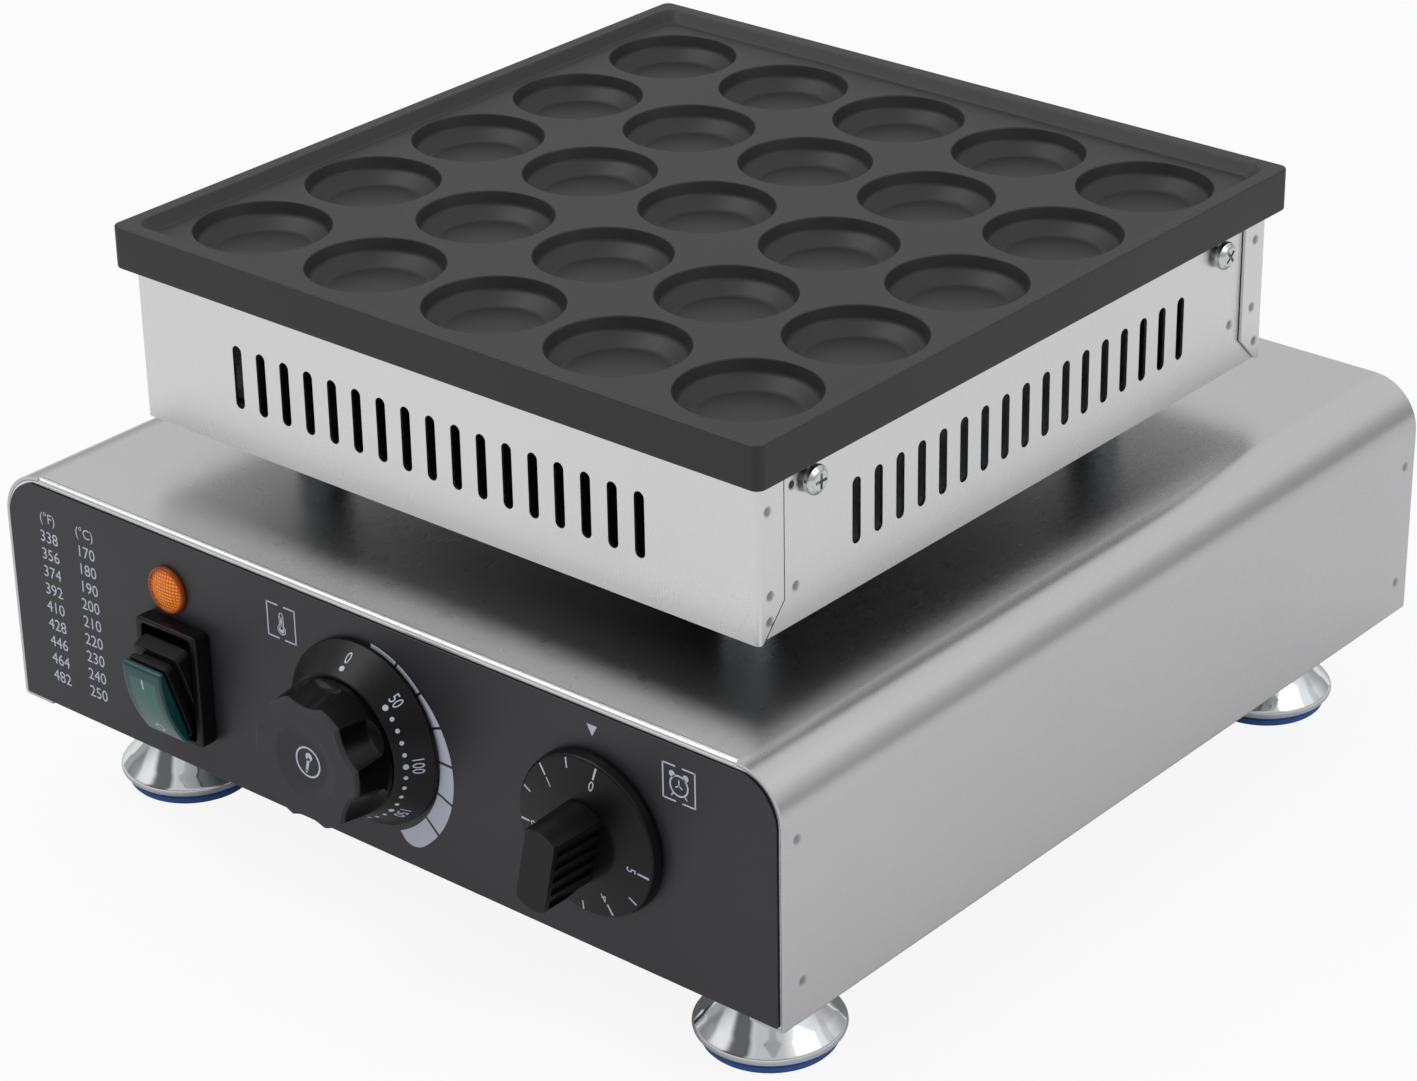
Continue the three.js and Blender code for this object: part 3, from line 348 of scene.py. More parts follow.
def smooth(piece, angle=32):
    take(piece)
    bpy.ops.object.shade_smooth_by_angle(angle=radians(angle))
    return modify(piece, "WEIGHTED_NORMAL", keep_sharp=True, weight=70)


def soften(piece, width, steps=2, angle=40, clamp=True):
    """A small round on every edge that turns more than the angle."""
    return modify(
        piece, "BEVEL", width=width * MM, segments=steps, limit_method="ANGLE",
        angle_limit=radians(angle), use_clamp_overlap=clamp,
    )


def hand_over(piece, finish, body="machine", *nodes):
    """Gives a piece its finish, the solids that it stands for and the body that it rides on."""
    piece.data.materials.clear()
    piece.data.materials.append(finish.material)
    if nodes:
        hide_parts(*nodes)
    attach(piece, body)
    return piece


# %% [markdown]
# ## Finishes as sums
# A finish is a Principled shader fed by small sums on noise and place. `Flow` wraps the output of a
# node, and Python's own arithmetic on it adds Math nodes, so `0.3 + 0.1 * grain` reads as written.
# Patterns use Object coordinates, which are metres here: a noise scale of 1000 has 1 mm grains.

# %% Flow and Finish
class Flow:
    """The output of a node. Arithmetic on it adds Math nodes."""

    def __init__(self, finish, socket):
        self.finish, self.socket = finish, socket

    def sum(self, operation, first, second=0.0):
        return self.finish.node("Math", {"operation": operation}, {0: first, 1: second})

    def __add__(self, other):
        return self.sum("ADD", self, other)

    def __radd__(self, other):
        return self.sum("ADD", other, self)

    def __sub__(self, other):
        return self.sum("SUBTRACT", self, other)

    def __rsub__(self, other):
        return self.sum("SUBTRACT", other, self)

    def __mul__(self, other):
        return self.sum("MULTIPLY", self, other)

    def __rmul__(self, other):
        return self.sum("MULTIPLY", other, self)

    def __truediv__(self, other):
        return self.sum("DIVIDE", self, other)

    def __gt__(self, other):
        return self.sum("GREATER_THAN", self, other)

    def __lt__(self, other):
        return self.sum("LESS_THAN", self, other)

    def size(self):
        return self.sum("ABSOLUTE", self)


def paint(code):
    """A colour written as six hex digits, in the linear light that shaders use."""
    parts = [int(code[i:i + 2], 16) / 255 for i in (0, 2, 4)]
    line = [p / 12.92 if p <= 0.04045 else ((p + 0.055) / 1.055) ** 2.4 for p in parts]
    return (*line, 1.0)


class Nodes:
    """A node tree, and the few ways in which this notebook adds to one."""

    def __init__(self, tree):
        self.tree = tree

    def feed(self, socket, value):
        if isinstance(value, Flow):
            self.tree.links.new(value.socket, socket)
        else:
            socket.default_value = value

    def node(self, kind, settings=None, inputs=None, output=0):
        """Any node: its type, its settings first, then the values or links of its sockets."""
        step = self.tree.nodes.new("ShaderNode" + kind)
        for name, value in (settings or {}).items():
            setattr(step, name, value)
        for key, value in (inputs or {}).items():
            self.feed(step.inputs[key], value)
        return Flow(self, step.outputs[output])

    def mask(self, value, low, high, first=0.0, last=1.0):
        """The first number below low, the last one above high, and soft between."""
        return self.node("MapRange", {"interpolation_type": "SMOOTHSTEP"}, {
            "Value": value, "From Min": low, "From Max": high, "To Min": first, "To Max": last,
        })

    def mix(self, mask, first, second):
        """One colour where the mask is 0 and another where it is 1."""
        return self.node("Mix", {"data_type": "RGBA"}, {0: mask, 6: first, 7: second}, 2)


class Finish(Nodes):
    """A material round one Principled shader."""

    def __init__(self, slot, name, constants):
        self.slot = slot
        self.material = bpy.data.materials.new(name)
        self.material.use_nodes = True
        super().__init__(self.material.node_tree)
        self.shader = self.tree.nodes["Principled BSDF"]
        self.place = self.node("TexCoord", output="Object")
        self.set(constants)

    def set(self, sockets):
        """Sets or links sockets of the shader."""
        for name, value in sockets.items():
            self.feed(self.shader.inputs[name], value)

    def noise(self, scale, detail=3.0, stretch=(1, 1, 1)):
        """Soft noise from 0 to 1, its grains drawn out where the stretch is small."""
        where = self.node("Mapping", None, {"Vector": self.place, "Scale": stretch})
        sockets = {"Vector": where, "Scale": scale, "Detail": detail}
        return self.node("TexNoise", None, sockets)

    def along(self, axis):
        """The place along one axis, in millimetres."""
        split = self.node("SeparateXYZ", None, {0: self.place}, "XYZ".index(axis))
        return split * (1 / MM)

    def relief(self, height, depth, strength=1.0):
        """A bump of that depth in millimetres, fed to the shader's normal."""
        sockets = {"Height": height, "Distance": depth * MM, "Strength": strength}
        self.set({"Normal": self.node("Bump", None, sockets)})


print("paint of mid grey", tuple(round(v, 3) for v in paint("808080")))

# %% [markdown]
# ## Steel
# The sheets are stainless steel with a fine grain, as it comes off the roll. The grain follows the
# sheet, so the folded base has it along its folds and the walls have it upright. It shows only as a
# small change in roughness and colour. Large soft clouds are what handling leaves on steel, and the
# same clouds as a shallow relief are the waves of a thin sheet, which bend what it mirrors.

# %% Steel sheet, upright and along the base
def steel(name, grain, dark, light, rough=0.27):
    finish = Finish("brushed_sheet", name, {"Metallic": 1.0})
    lines = finish.noise(2200, 2, grain)
    clouds = finish.noise(9, 3)
    marks = finish.noise(160, 4)
    finish.set({
        "Roughness": rough - 0.02 + 0.02 * lines + 0.08 * clouds * marks,
        "Base Color": finish.mix(0.2 * lines + 0.8 * clouds, paint(dark), paint(light)),
    })
    finish.relief(clouds, 0.2)
    return finish


upright_steel = steel("upright_steel", (1, 1, 0.02), "d4d4d4", "dedede")
base_steel = steel("base_steel", (1, 0.02, 1), "b9b9ba", "c5c5c6")
panel_steel = steel("panel_steel", (0.02, 1, 1), "d2d3d4", "dcddde", rough=0.2)

# %% [markdown]
# ## Coated casting
# The baking plate is a sand casting under a dark non-stick coating. The coating is matt, with a
# fine grain that shows best on the skirt, and it is a little lighter where the pans are used.

# %% Coated casting
coated = Finish("coated_casting", "coated_casting", {"Specular IOR Level": 0.45})
grain = coated.noise(1100, 4)
patches = coated.noise(25, 4)
coated.set({
    "Base Color": coated.mix(0.6 * grain + 0.4 * patches, paint("1c1c1e"), paint("29292b")),
    "Roughness": 0.42 + 0.1 * grain + 0.08 * patches,
})
coated.relief(grain + 0.3 * patches, 0.05)

# %% [markdown]
# ## Bright metal
# The bell feet are chromed, the screws are plated and polished by the driver, and the parts inside
# are zinc plated. Chrome has almost no roughness. Zinc has the clouds of its plating.

# %% Chrome and screw steel
chrome = Finish("plated_cup", "chrome", {"Metallic": 1.0, "Base Color": paint("e3e6e8")})
chrome.set({"Roughness": 0.05 + 0.06 * chrome.noise(90, 3)})
chrome.relief(chrome.noise(40, 2), 0.08)

screw_steel = Finish("screw_steel", "screw_steel", {"Metallic": 1.0})
scratches = screw_steel.noise(900, 3)
screw_steel.set({
    "Base Color": screw_steel.mix(scratches, paint("b9babb"), paint("dcdddd")),
    "Roughness": 0.16 + 0.12 * scratches,
})
screw_steel.relief(scratches, 0.01)


# %% Zinc, the heater tube and the copper of the sensor
def metal(slot, name, dark, light, rough, clouds, dull, bumps, depth=0.01, metallic=1.0):
    """A metal whose colour, roughness and relief follow three noises of (scale, detail)."""
    finish = Finish(slot, name, {"Metallic": metallic})
    finish.set({
        "Base Color": finish.mix(finish.noise(*clouds), paint(dark), paint(light)),
        "Roughness": rough + 0.2 * finish.noise(*dull),
    })
    finish.relief(finish.noise(*bumps), depth)
    return finish


zinc = metal("zinc_plate", "zinc", "8f9396", "b4b8bb", 0.34, (300, 4), (250, 3), (500, 3))
heater = metal("heater_tube", "heater_tube", "5a544e", "807a72", 0.4,
               (120, 4), (600, 3), (900, 3), depth=0.02, metallic=0.9)
copper = metal("sensor_copper", "sensor_copper", "a8703f", "c79a6a", 0.25,
               (200, 3), (400, 3), (700, 2))

# %% [markdown]
# ## Plastic, rubber and print
# Moulded plastic takes the fine grain of its mould. Rubber is duller, with talc-like clouds. The
# overlay is a printed film: dark, satin, slightly violet. The print on it is a pale ink.

# %% Plastic, rubber, ceramic and insulation
def moulded(slot, name, dark, light, rough, depth=0.012, scale=1600, **constants):
    finish = Finish(slot, name, {key.replace("_", " "): v for key, v in constants.items()})
    texture = finish.noise(scale, 3)
    wear = finish.noise(60, 4)
    finish.set({
        "Base Color": finish.mix(0.4 * texture + 0.6 * wear, paint(dark), paint(light)),
        "Roughness": rough + 0.08 * texture + 0.1 * wear,
    })
    finish.relief(texture, depth)
    return finish


black = moulded("black_plastic", "black_plastic", "070708", "0e0e0f", 0.26,
                Specular_IOR_Level=0.22)
rubber = moulded("boot_rubber", "boot_rubber", "060607", "0c0c0d", 0.42, 0.02, 900,
                 Specular_IOR_Level=0.2)
blue = moulded("blue_rubber", "blue_rubber", "254f96", "3865ae", 0.5, 0.03, 700)
ceramic = moulded("white_ceramic", "white_ceramic", "c9c7bf", "dedcd5", 0.4, 0.02, 800)
sleeving = moulded("wire_sleeving", "wire_sleeving", "a39c8e", "c4bdaf", 0.6, 0.08, 1500)
overlay = moulded("printed_overlay", "printed_overlay", "28272b", "2c2b2f", 0.34, 0.003, 2400,
                  Specular_IOR_Level=0.4)
ink = moulded("printed_overlay", "pale_ink", "b9bdcd", "c9ccda", 0.45, 0.004, 1500)

# %% [markdown]
# ## Knob face, rocker and lamp
# The round knob's face is matt, and a painted light makes it grey; its sides are glossy black. The
# rocker is clear green plastic with dark edges, and a painted glow makes its middle lighter, as if
# light came through it from inside. The lamp is an amber lens with a grid of small facets on the
# inside, which two crossed waves give, and it glows a little.

# %% Knob face
DISH = 26.9
knob_black = moulded("black_plastic", "knob_plastic", "070708", "0e0e0f", 0.2,
                     Specular_IOR_Level=0.12)
above_dish = FRONT - (DISH - 0.9) - knob_black.along("Y")
# The face is rougher than the sides, a real matt finish, and painted lighter than them, a painted
# light.
matt_face_and_painted_light = knob_black.mask(above_dish, 0.1, 1.2)
soft_grain = knob_black.noise(2600, 3)
knob_black.set({
    "Base Color": knob_black.mix(matt_face_and_painted_light, paint("080809"), paint("434345")),
    "Roughness": 0.16 + 0.36 * matt_face_and_painted_light + 0.08 * soft_grain,
})
knob_black.relief(soft_grain, 0.014)

# %% Green rocker
SWITCH_X, SWITCH_Z, SWITCH_TILT = -87.2, 73.2, 18
GLOW_HALF_X, GLOW_HALF_Z = 6.4, 11.6
green = Finish("green_rocker", "green_rocker", {"IOR": 1.5, "Specular IOR Level": 0.4})
pivot = Vector((SWITCH_X, FRONT, SWITCH_Z)) * MM
flat = green.node("Mapping", {"vector_type": "TEXTURE"}, {
    "Vector": green.place, "Location": pivot, "Rotation": (radians(SWITCH_TILT), 0, 0),
})
across = green.node("SeparateXYZ", None, {0: flat}, 0) * (1 / MM)
upward = green.node("SeparateXYZ", None, {0: flat}, 2) * (1 / MM)
inside_x = green.mask(GLOW_HALF_X - across.size(), -0.2, 0.5)
inside_z = green.mask(GLOW_HALF_Z - upward.size(), -0.2, 0.5)
clouds = green.noise(250, 3)
# A painted glow: the rocker's middle is painted lighter, as if light came through the clear plastic
# from inside.
painted_glow = inside_x * inside_z * (0.6 + 0.8 * clouds)
green.set({
    "Base Color": green.mix(painted_glow, paint("0f4140"), paint("1e6259")),
    "Roughness": 0.12 + 0.1 * clouds,
})
green.relief(clouds, 0.02)

# %% Amber lamp
LAMP_X, LAMP_Z, FACET = -91, 104.5, 1.25
amber = Finish("amber_lens", "amber_lens", {
    "IOR": 1.5, "Specular IOR Level": 0.3, "Emission Strength": 0.4,
})


def wave(axis, middle):
    turns = (amber.along(axis) - middle) * (pi / FACET)
    return amber.node("Math", {"operation": "SINE"}, {0: turns}).size()


facets = wave("X", LAMP_X) * wave("Z", LAMP_Z)
off_middle = amber.node("Mapping", None, {
    "Vector": amber.place, "Location": (-LAMP_X, 0, -LAMP_Z), "Scale": (1 / MM, 0, 1 / MM),
})
from_middle = amber.node("VectorMath", {"operation": "LENGTH"}, {0: off_middle}, 1)
inner_part = amber.mask(from_middle, 7.6, 6.2)
amber.set({
    "Base Color": amber.mix(inner_part * (0.35 + 0.65 * facets), paint("8a3a08"), paint("ec8018")),
    "Emission Color": amber.mix(inner_part * facets, paint("5c2203"), paint("ff9020")),
    "Roughness": 0.14 + 0.1 * amber.noise(300, 2),
})
amber.relief(facets * inner_part, 0.22)
print("finishes", len(bpy.data.materials))

# %% [markdown]
# ## Floor, world and lamps
# The object stands on a plain pale floor in soft light. The floor glows for the camera, so that it
# stays pale to its far edge. It glows less for metal, and not evenly: a painted shadow keeps it
# dark under the machine, and a painted light makes it paler beside it and brighter to the left. The
# world lights the scene with an even grey and is white behind the object. Metal shows a room in it:
# bright from above, darker walls near the horizon, and a few soft dark screens, because chrome and
# steel in an all white room would look like chalk. A large soft lamp above the left gives the forms
# a light side, and a weaker one fills the right.

# %% Floor
clear()
bpy.ops.mesh.primitive_plane_add(size=12, location=(0, 0, 0))
floor = bpy.context.object
floor.name = "floor"
pale = Finish("floor", "pale_floor", {"Roughness": 0.9, "Specular IOR Level": 0.1})
pale.set({"Base Color": pale.mix(pale.noise(3, 2), paint("efefef"), paint("f3f3f3"))})
glow = pale.node("Emission", None, {"Color": (1, 1, 1, 1), "Strength": 1.0})
# For metal the floor's glow is uneven: a painted shadow under the machine and a painted light that
# is brighter to the left.
UNDER_X, UNDER_Y, FADE = 140, 170, 120
beside_x = pale.mask(pale.along("X").size(), UNDER_X, UNDER_X + FADE)
beside_y = pale.mask(pale.along("Y").size(), UNDER_Y, UNDER_Y + FADE)
outside_painted_shadow = 1 - (1 - beside_x) * (1 - beside_y)
painted_light_to_left = pale.mask(pale.along("X"), -200, 500, 0.58, 0.46)
seen = pale.node("LightPath", output="Is Camera Ray") * 0.9
seen = seen + pale.node("LightPath", output="Is Glossy Ray") * (outside_painted_shadow * painted_light_to_left)
both = pale.node("MixShader", None, {0: seen, 1: Flow(pale, pale.shader.outputs[0]), 2: glow})
pale.feed(pale.tree.nodes["Material Output"].inputs["Surface"], both)
floor.data.materials.append(pale.material)

# %% World
world = bpy.data.worlds.new("pale_room")
bpy.context.scene.world = world
world.use_nodes = True
room = Nodes(world.node_tree)
towards = room.node("TexCoord", output="Generated")
east, north, height = (room.node("SeparateXYZ", None, {0: towards}, i) for i in range(3))
bearing = room.node("Math", {"operation": "ARCTAN2"}, {0: north, 1: east}) * (180 / pi)


SOFT = 0.06


def dark_screen(middle, half, low, high, depth):
    """A soft dark screen round a bearing in degrees, between two heights of the direction."""
    across = room.mask((bearing - middle).size(), half, half * 0.45)
    above = room.mask(height, low - SOFT, low + SOFT)
    below = room.mask(height, high + SOFT, high - SOFT)
    return across * above * below * depth


walls = room.mask(height, 0.05, 0.5, 0.4, 0.95)
screens = dark_screen(-103, 24, 0.1, 0.8, 0.85) + dark_screen(-52, 44, 0.12, 0.9, 0.35)
screens = screens + dark_screen(48, 8, 0.25, 0.5, 0.25) + dark_screen(-160, 16, 0.15, 0.5, 0.55)
for_metal = walls * (1 - screens) + (height < -0.02) * 0.5
lit = room.mix(room.node("LightPath", output="Is Glossy Ray"), (0.55, 0.55, 0.56, 1), for_metal)
plain_white = room.mix(room.node("LightPath", output="Is Camera Ray"), lit, (1, 1, 1, 1))
room.feed(room.tree.nodes["Background"].inputs["Color"], plain_white)

# %% Lamps
AIM = Vector((0, 0, 0.1))


def lamp(name, at, size, power):
    """A soft square of light at a point, in metres, that faces the object."""
    light = bpy.data.lights.new(name, "AREA")
    light.shape, light.size, light.energy = "SQUARE", size, power
    stand = bpy.data.objects.new(name, light)
    bpy.context.scene.collection.objects.link(stand)
    stand.location = at
    stand.rotation_euler = (AIM - Vector(at)).to_track_quat("-Z", "Y").to_euler()
    print(name, "at", at, "power", power)


lamp("key_light", (-1.0, -0.9, 2.1), 1.4, 18)
lamp("fill_light", (1.6, 0.2, 1.5), 1.2, 6)

# %% [markdown]
# ## The baking plate
# One casting: a slab with a raised rim, 25 wells with rounded mouths, and a flat land underneath
# for the heater. It could be sculpted whole, but a foundry pattern is made the same way as here: a
# block, its rim by an inset that is pushed down, and one turned core that is repeated.

# %% Slab and rim
RIM, RIM_SLOPE, RIM_DEPTH = 5.5, 3, 4
PLATE_CORNER, POCKET_CORNER, PLATE_EDGE = 3.5, 5, 0.7
SURFACE = PLATE_TOP - RIM_DEPTH
half_plate = (PLATE_WIDTH / 2, PLATE_DEPTH / 2)
low = (-half_plate[0], MIDDLE - half_plate[1], HOUSING_TOP)
high = (half_plate[0], MIDDLE + half_plate[1], PLATE_TOP)
plate = box("plate_casting", low, high)
edit(plate)
pick_faces(plate, lambda centre, normal: normal.z > 0.9)
bpy.ops.mesh.inset(thickness=RIM * MM)
bpy.ops.mesh.extrude_region_move(TRANSFORM_OT_translate={"value": (0, 0, -RIM_DEPTH * MM)})
floor_width, floor_depth = PLATE_WIDTH - 2 * RIM, PLATE_DEPTH - 2 * RIM
shrink = (1 - 2 * RIM_SLOPE / floor_width, 1 - 2 * RIM_SLOPE / floor_depth, 1)
bpy.ops.transform.resize(value=shrink, center_override=(0, MIDDLE * MM, 0))
bpy.ops.mesh.select_mode(type="EDGE")
bpy.ops.mesh.select_all(action="DESELECT")
pick_edges(plate, standing)
bpy.ops.mesh.bevel(offset=PLATE_CORNER * MM, segments=6, affect="EDGES")
bpy.ops.mesh.select_all(action="DESELECT")
inner = half_plate[0] - RIM + 0.5
slopes = pick_edges(plate, lambda a, b: abs(a.z - b.z) > 3 and max(abs(a.x), abs(b.x)) < inner)
bpy.ops.mesh.bevel(offset=POCKET_CORNER * MM, segments=6, affect="EDGES")
leave()
soften(plate, PLATE_EDGE, steps=3, angle=25, clamp=False)
print("rim", RIM, "surface at", SURFACE, "inner corners", slopes)

# %% Heater land and screw lugs underneath
LAND_X, LAND_Y, LAND_LOW = 117, 119.2, HOUSING_TOP - 4
LUG_X, LUG_HALF, LUG_LOW = 126.4, (7, 11), HOUSING_TOP - 17
SCREW_Y, SCREW_Z = 110.7, 189.8
rooted = HOUSING_TOP + 1
land = box("land", (-LAND_X, MIDDLE - LAND_Y, LAND_LOW), (LAND_X, MIDDLE + LAND_Y, rooted))
lug = box("lug", (-LUG_HALF[0], -LUG_HALF[1], LUG_LOW), (*LUG_HALF, rooted))
soften(lug, 1.2, steps=3)
lugs = repeat("lugs", lug, [(s * LUG_X, MIDDLE + t * SCREW_Y, 0) for word, s, t in CORNERS])

# %% One core, turned, and its 25 places
WELLS, PITCH = 5, 52.8
WELL_DEPTH, WELL_FLOOR, WELL_STEP, WELL_MOUTH, CORE_TOP = 8.5, 17.5, 22.2, 23.5, 3
core = lathe("well_core", eased([
    (0, -WELL_DEPTH), (WELL_FLOOR, -WELL_DEPTH, 3.5), (WELL_STEP, -4.6, 3), (WELL_MOUTH, 0.02, 0.9),
    (26.1, 0.5), (26.1, CORE_TOP), (0, CORE_TOP),
], steps=5), steps=72)
places = [(x, MIDDLE + y, SURFACE) for x in row(WELLS, PITCH) for y in row(WELLS, PITCH)]
cut(plate, repeat("well_cores", core, places))
plate = join("plate_casting", plate, land, lugs)
smooth(plate, 28)
hand_over(plate, coated, "machine", "baking_plate")

# %% [markdown]
# ## The housing
# Four walls of 1 mm steel. The front and the rear wall are bent round the corners and spot welded
# to the flat side walls. All four have a row of 17 punched slots. The wrapped corner is mitred at
# its foot, and a thin dark strip along the front corners' free edge is a painted shadow line. A box
# would have none of these bends and laps, and they are what catches the light.
#
# Sheet steel is an open path with a length and a thickness: the path is the folded sheet seen from
# its end, it is drawn out into a surface, and Solidify gives that surface its thickness.

# %% Surface and thickness
def surface(name, path, run):
    """A path drawn out by a vector into a surface without thickness."""
    piece = draw(name, path)
    bpy.ops.mesh.extrude_region_move(TRANSFORM_OT_translate={"value": Vector(run) * MM})
    bpy.ops.mesh.select_all(action="SELECT")
    bpy.ops.mesh.normals_make_consistent(inside=False)
    leave()
    return piece


def thicken(piece, thickness):
    """Gives a surface its thickness on its inner side."""
    before = max(abs(v.co.x) for v in piece.data.vertices)
    modify(piece, "SOLIDIFY", thickness=thickness * MM, offset=-1, use_even_offset=True)
    after = max(abs(v.co.x) for v in piece.data.vertices)
    print(piece.name, "grew outwards by", round((after - before) / MM, 3))
    return piece


# %% Slots
SLOT_WIDTH, SLOT_LENGTH, SLOT_PITCH, WALL_SLOTS = 4.2, 22.8, 11, 17


def slot_cutters(count, depth=6):
    """A row of slots along X, standing along Y, drawn out along Z."""
    one = prism("slot", rectangle(SLOT_WIDTH, SLOT_LENGTH, SLOT_WIDTH / 2, 8), depth)
    return repeat("slots", one, [(x, 0, -depth / 2) for x in row(count, SLOT_PITCH)])


# %% Spot welds
DIMPLE_DEPTH, DIMPLE_RADIUS = 0.32, 2.1


def weld_marks(places, side):
    """Cutters for the shallow dimples that welding tongs leave on a sheet that faces along X."""
    dimple = lathe("dimple", eased([
        (0, -DIMPLE_DEPTH), (1.2, -DIMPLE_DEPTH, 0.9), (DIMPLE_RADIUS, 0.05, 0.4),
        (2.6, 0.6), (0, 0.6),
    ], steps=4), steps=24)
    place(dimple, turn=(0, 90 * side, 0))
    return repeat("dimples", dimple, [(side * x, y, z) for x, y, z in places])


def tint_welds(finish, marks):
    """Darkens a finish in the dimples, where the heat of the weld has dulled the steel."""
    colour = Flow(finish, finish.shader.inputs["Base Color"].links[0].from_socket)
    for _, y, z in marks:
        flat = finish.node("Mapping", None, {"Vector": finish.place, "Scale": (0, 1, 1)})
        middle = Vector((0, y, z)) * MM
        far = finish.node("VectorMath", {"operation": "DISTANCE"}, {0: flat, 1: middle}, 1)
        colour = finish.mix(finish.mask(far * (1 / MM), 0.7, 2.4), paint("8a8a8b"), colour)
    finish.set({"Base Color": colour})


# %% Wrapped front and rear walls
WRAP, MITRE = 12.6, 12.4
SLOT_HEIGHT = HOUSING_LOW + 27


def wrapped_wall(name):
    """The front wall, its face at y = 0 and its ends bent back along +Y."""
    w, height = HOUSING_WIDTH / 2, HOUSING_TOP - GAP - HOUSING_LOW
    path = eased([(-w, WRAP), (-w, 0, BEND), (w, 0, BEND), (w, WRAP)], steps=6)
    sheet = surface(name, [(x, y, HOUSING_LOW) for x, y in path], (0, 0, height))
    edit(sheet)
    pick_faces(sheet, lambda centre, normal: abs(normal.x) > 0.99)
    corner = Vector((0, BEND + 1, HOUSING_LOW)) * MM
    bpy.ops.mesh.bisect(plane_co=corner, plane_no=(0, MITRE, -WRAP + BEND), clear_outer=True)
    leave()
    thicken(sheet, SHEET)
    return cut(sheet, place(slot_cutters(WALL_SLOTS), (0, 0, SLOT_HEIGHT), (90, 0, 0)))


front_wall = wrapped_wall("housing_front_wall")
rear_wall = place(copy_of(front_wall), turn=(0, 0, 180))
rear_wall.name = "housing_rear_wall"
place(front_wall, (0, MIDDLE - HOUSING_DEPTH / 2, 0))
place(rear_wall, (0, MIDDLE + HOUSING_DEPTH / 2, 0))

# %% Welds on the wrapped corners
HALF_WIDTH = HOUSING_WIDTH / 2
front_marks = [(HALF_WIDTH, y, z) for y, z in ((-135.6, 186.9), (-134.6, 158.1), (-134.9, 149.4))]
rear_marks = [(HALF_WIDTH, y, z) for y, z in ((127.6, 188.9), (127.2, 163.9), (129.7, 150.2))]
for wall, marks, node in (
    (front_wall, front_marks, "housing_front"), (rear_wall, rear_marks, "housing_rear"),
):
    cut(wall, *[weld_marks(marks, side) for side in (-1, 1)])
    smooth(wall, 35)
    hand_over(wall, upright_steel, "machine", node)
tint_welds(upright_steel, front_marks + rear_marks)

# %% A painted shadow line along the free edge of the two wrapped front corners
# A thin dark strip on the free edge of each front flange: a painted shadow where the flange steps
# over the side wall.
painted_seam_shadow = Finish("brushed_sheet", "painted_seam_shadow", {"Metallic": 1.0, "Base Color": paint("3c3c3d")})
painted_seam_shadow.set({"Roughness": 0.45 + 0.1 * painted_seam_shadow.noise(400, 3)})
knee = HOUSING_LOW + (WRAP - BEND - 1) * MITRE / (WRAP - BEND)
SHADOW_LINE_WIDTH, SHADOW_STRIP_THICKNESS = 0.35, 0.06
strip = [
    (WRAP, HOUSING_TOP - GAP), (WRAP, knee), (BEND + 1, HOUSING_LOW), (BEND + 0.4, HOUSING_LOW),
    (WRAP - SHADOW_LINE_WIDTH, knee + SHADOW_LINE_WIDTH / 2), (WRAP - SHADOW_LINE_WIDTH, HOUSING_TOP - GAP),
]
strips = []
for side in (-1, 1):
    line = prism("painted_seam_shadow", [(MIDDLE - HOUSING_DEPTH / 2 + a, b) for a, b in strip], SHADOW_STRIP_THICKNESS)
    strips.append(place(line, (side * HALF_WIDTH - SHADOW_STRIP_THICKNESS / 2, 0, 0), (90, 0, 90)))
hand_over(join("painted_seam_shadows", *strips), painted_seam_shadow, "machine")

# %% Side walls
WALL_FACE = HOUSING_WIDTH / 2 - SHEET - GAP
WALL_END = HOUSING_DEPTH / 2 - SHEET - GAP
SCREW_HOLE = 2.8
side_marks = [
    (WALL_FACE, y, z) for y, z in ((-122.3, 190.5), (-120.8, 155.7), (114.0, 188.7), (115.6, 160.7))
]
tint_welds(upright_steel, side_marks)
for side, word in ((-1, "left"), (1, "right")):
    faces = sorted((side * WALL_FACE, side * (WALL_FACE - SHEET)))
    low = (faces[0], MIDDLE - WALL_END, HOUSING_LOW)
    wall = box(f"housing_{word}_wall", low, (faces[1], MIDDLE + WALL_END, HOUSING_TOP - GAP))
    soften(wall, 0.15, steps=1)
    slots = place(slot_cutters(WALL_SLOTS), (side * WALL_FACE, MIDDLE, SLOT_HEIGHT), (90, 0, 90))
    drill = prism("drill", circle(SCREW_HOLE, 24), 6)
    drill = repeat("drills", place(drill, (-3, 0, 0), (0, 90, 0)), [
        (side * WALL_FACE, MIDDLE + y, SCREW_Z) for y in (-SCREW_Y, SCREW_Y)
    ])
    cut(wall, slots, drill, weld_marks(side_marks, side))
    smooth(wall, 35)
    hand_over(wall, upright_steel, "machine", f"housing_{word}")

# %% [markdown]
# ## The base
# The top and both sides are one sheet, bent over a large radius, with its lower edges turned in.
# The front and rear panels close it from inside the sheet, flush with its ends. The front panel's
# top edge is bent back under the sheet, and that small bend shows as the bright line above the dark
# overlay. The sheet leaves room for the bend there.

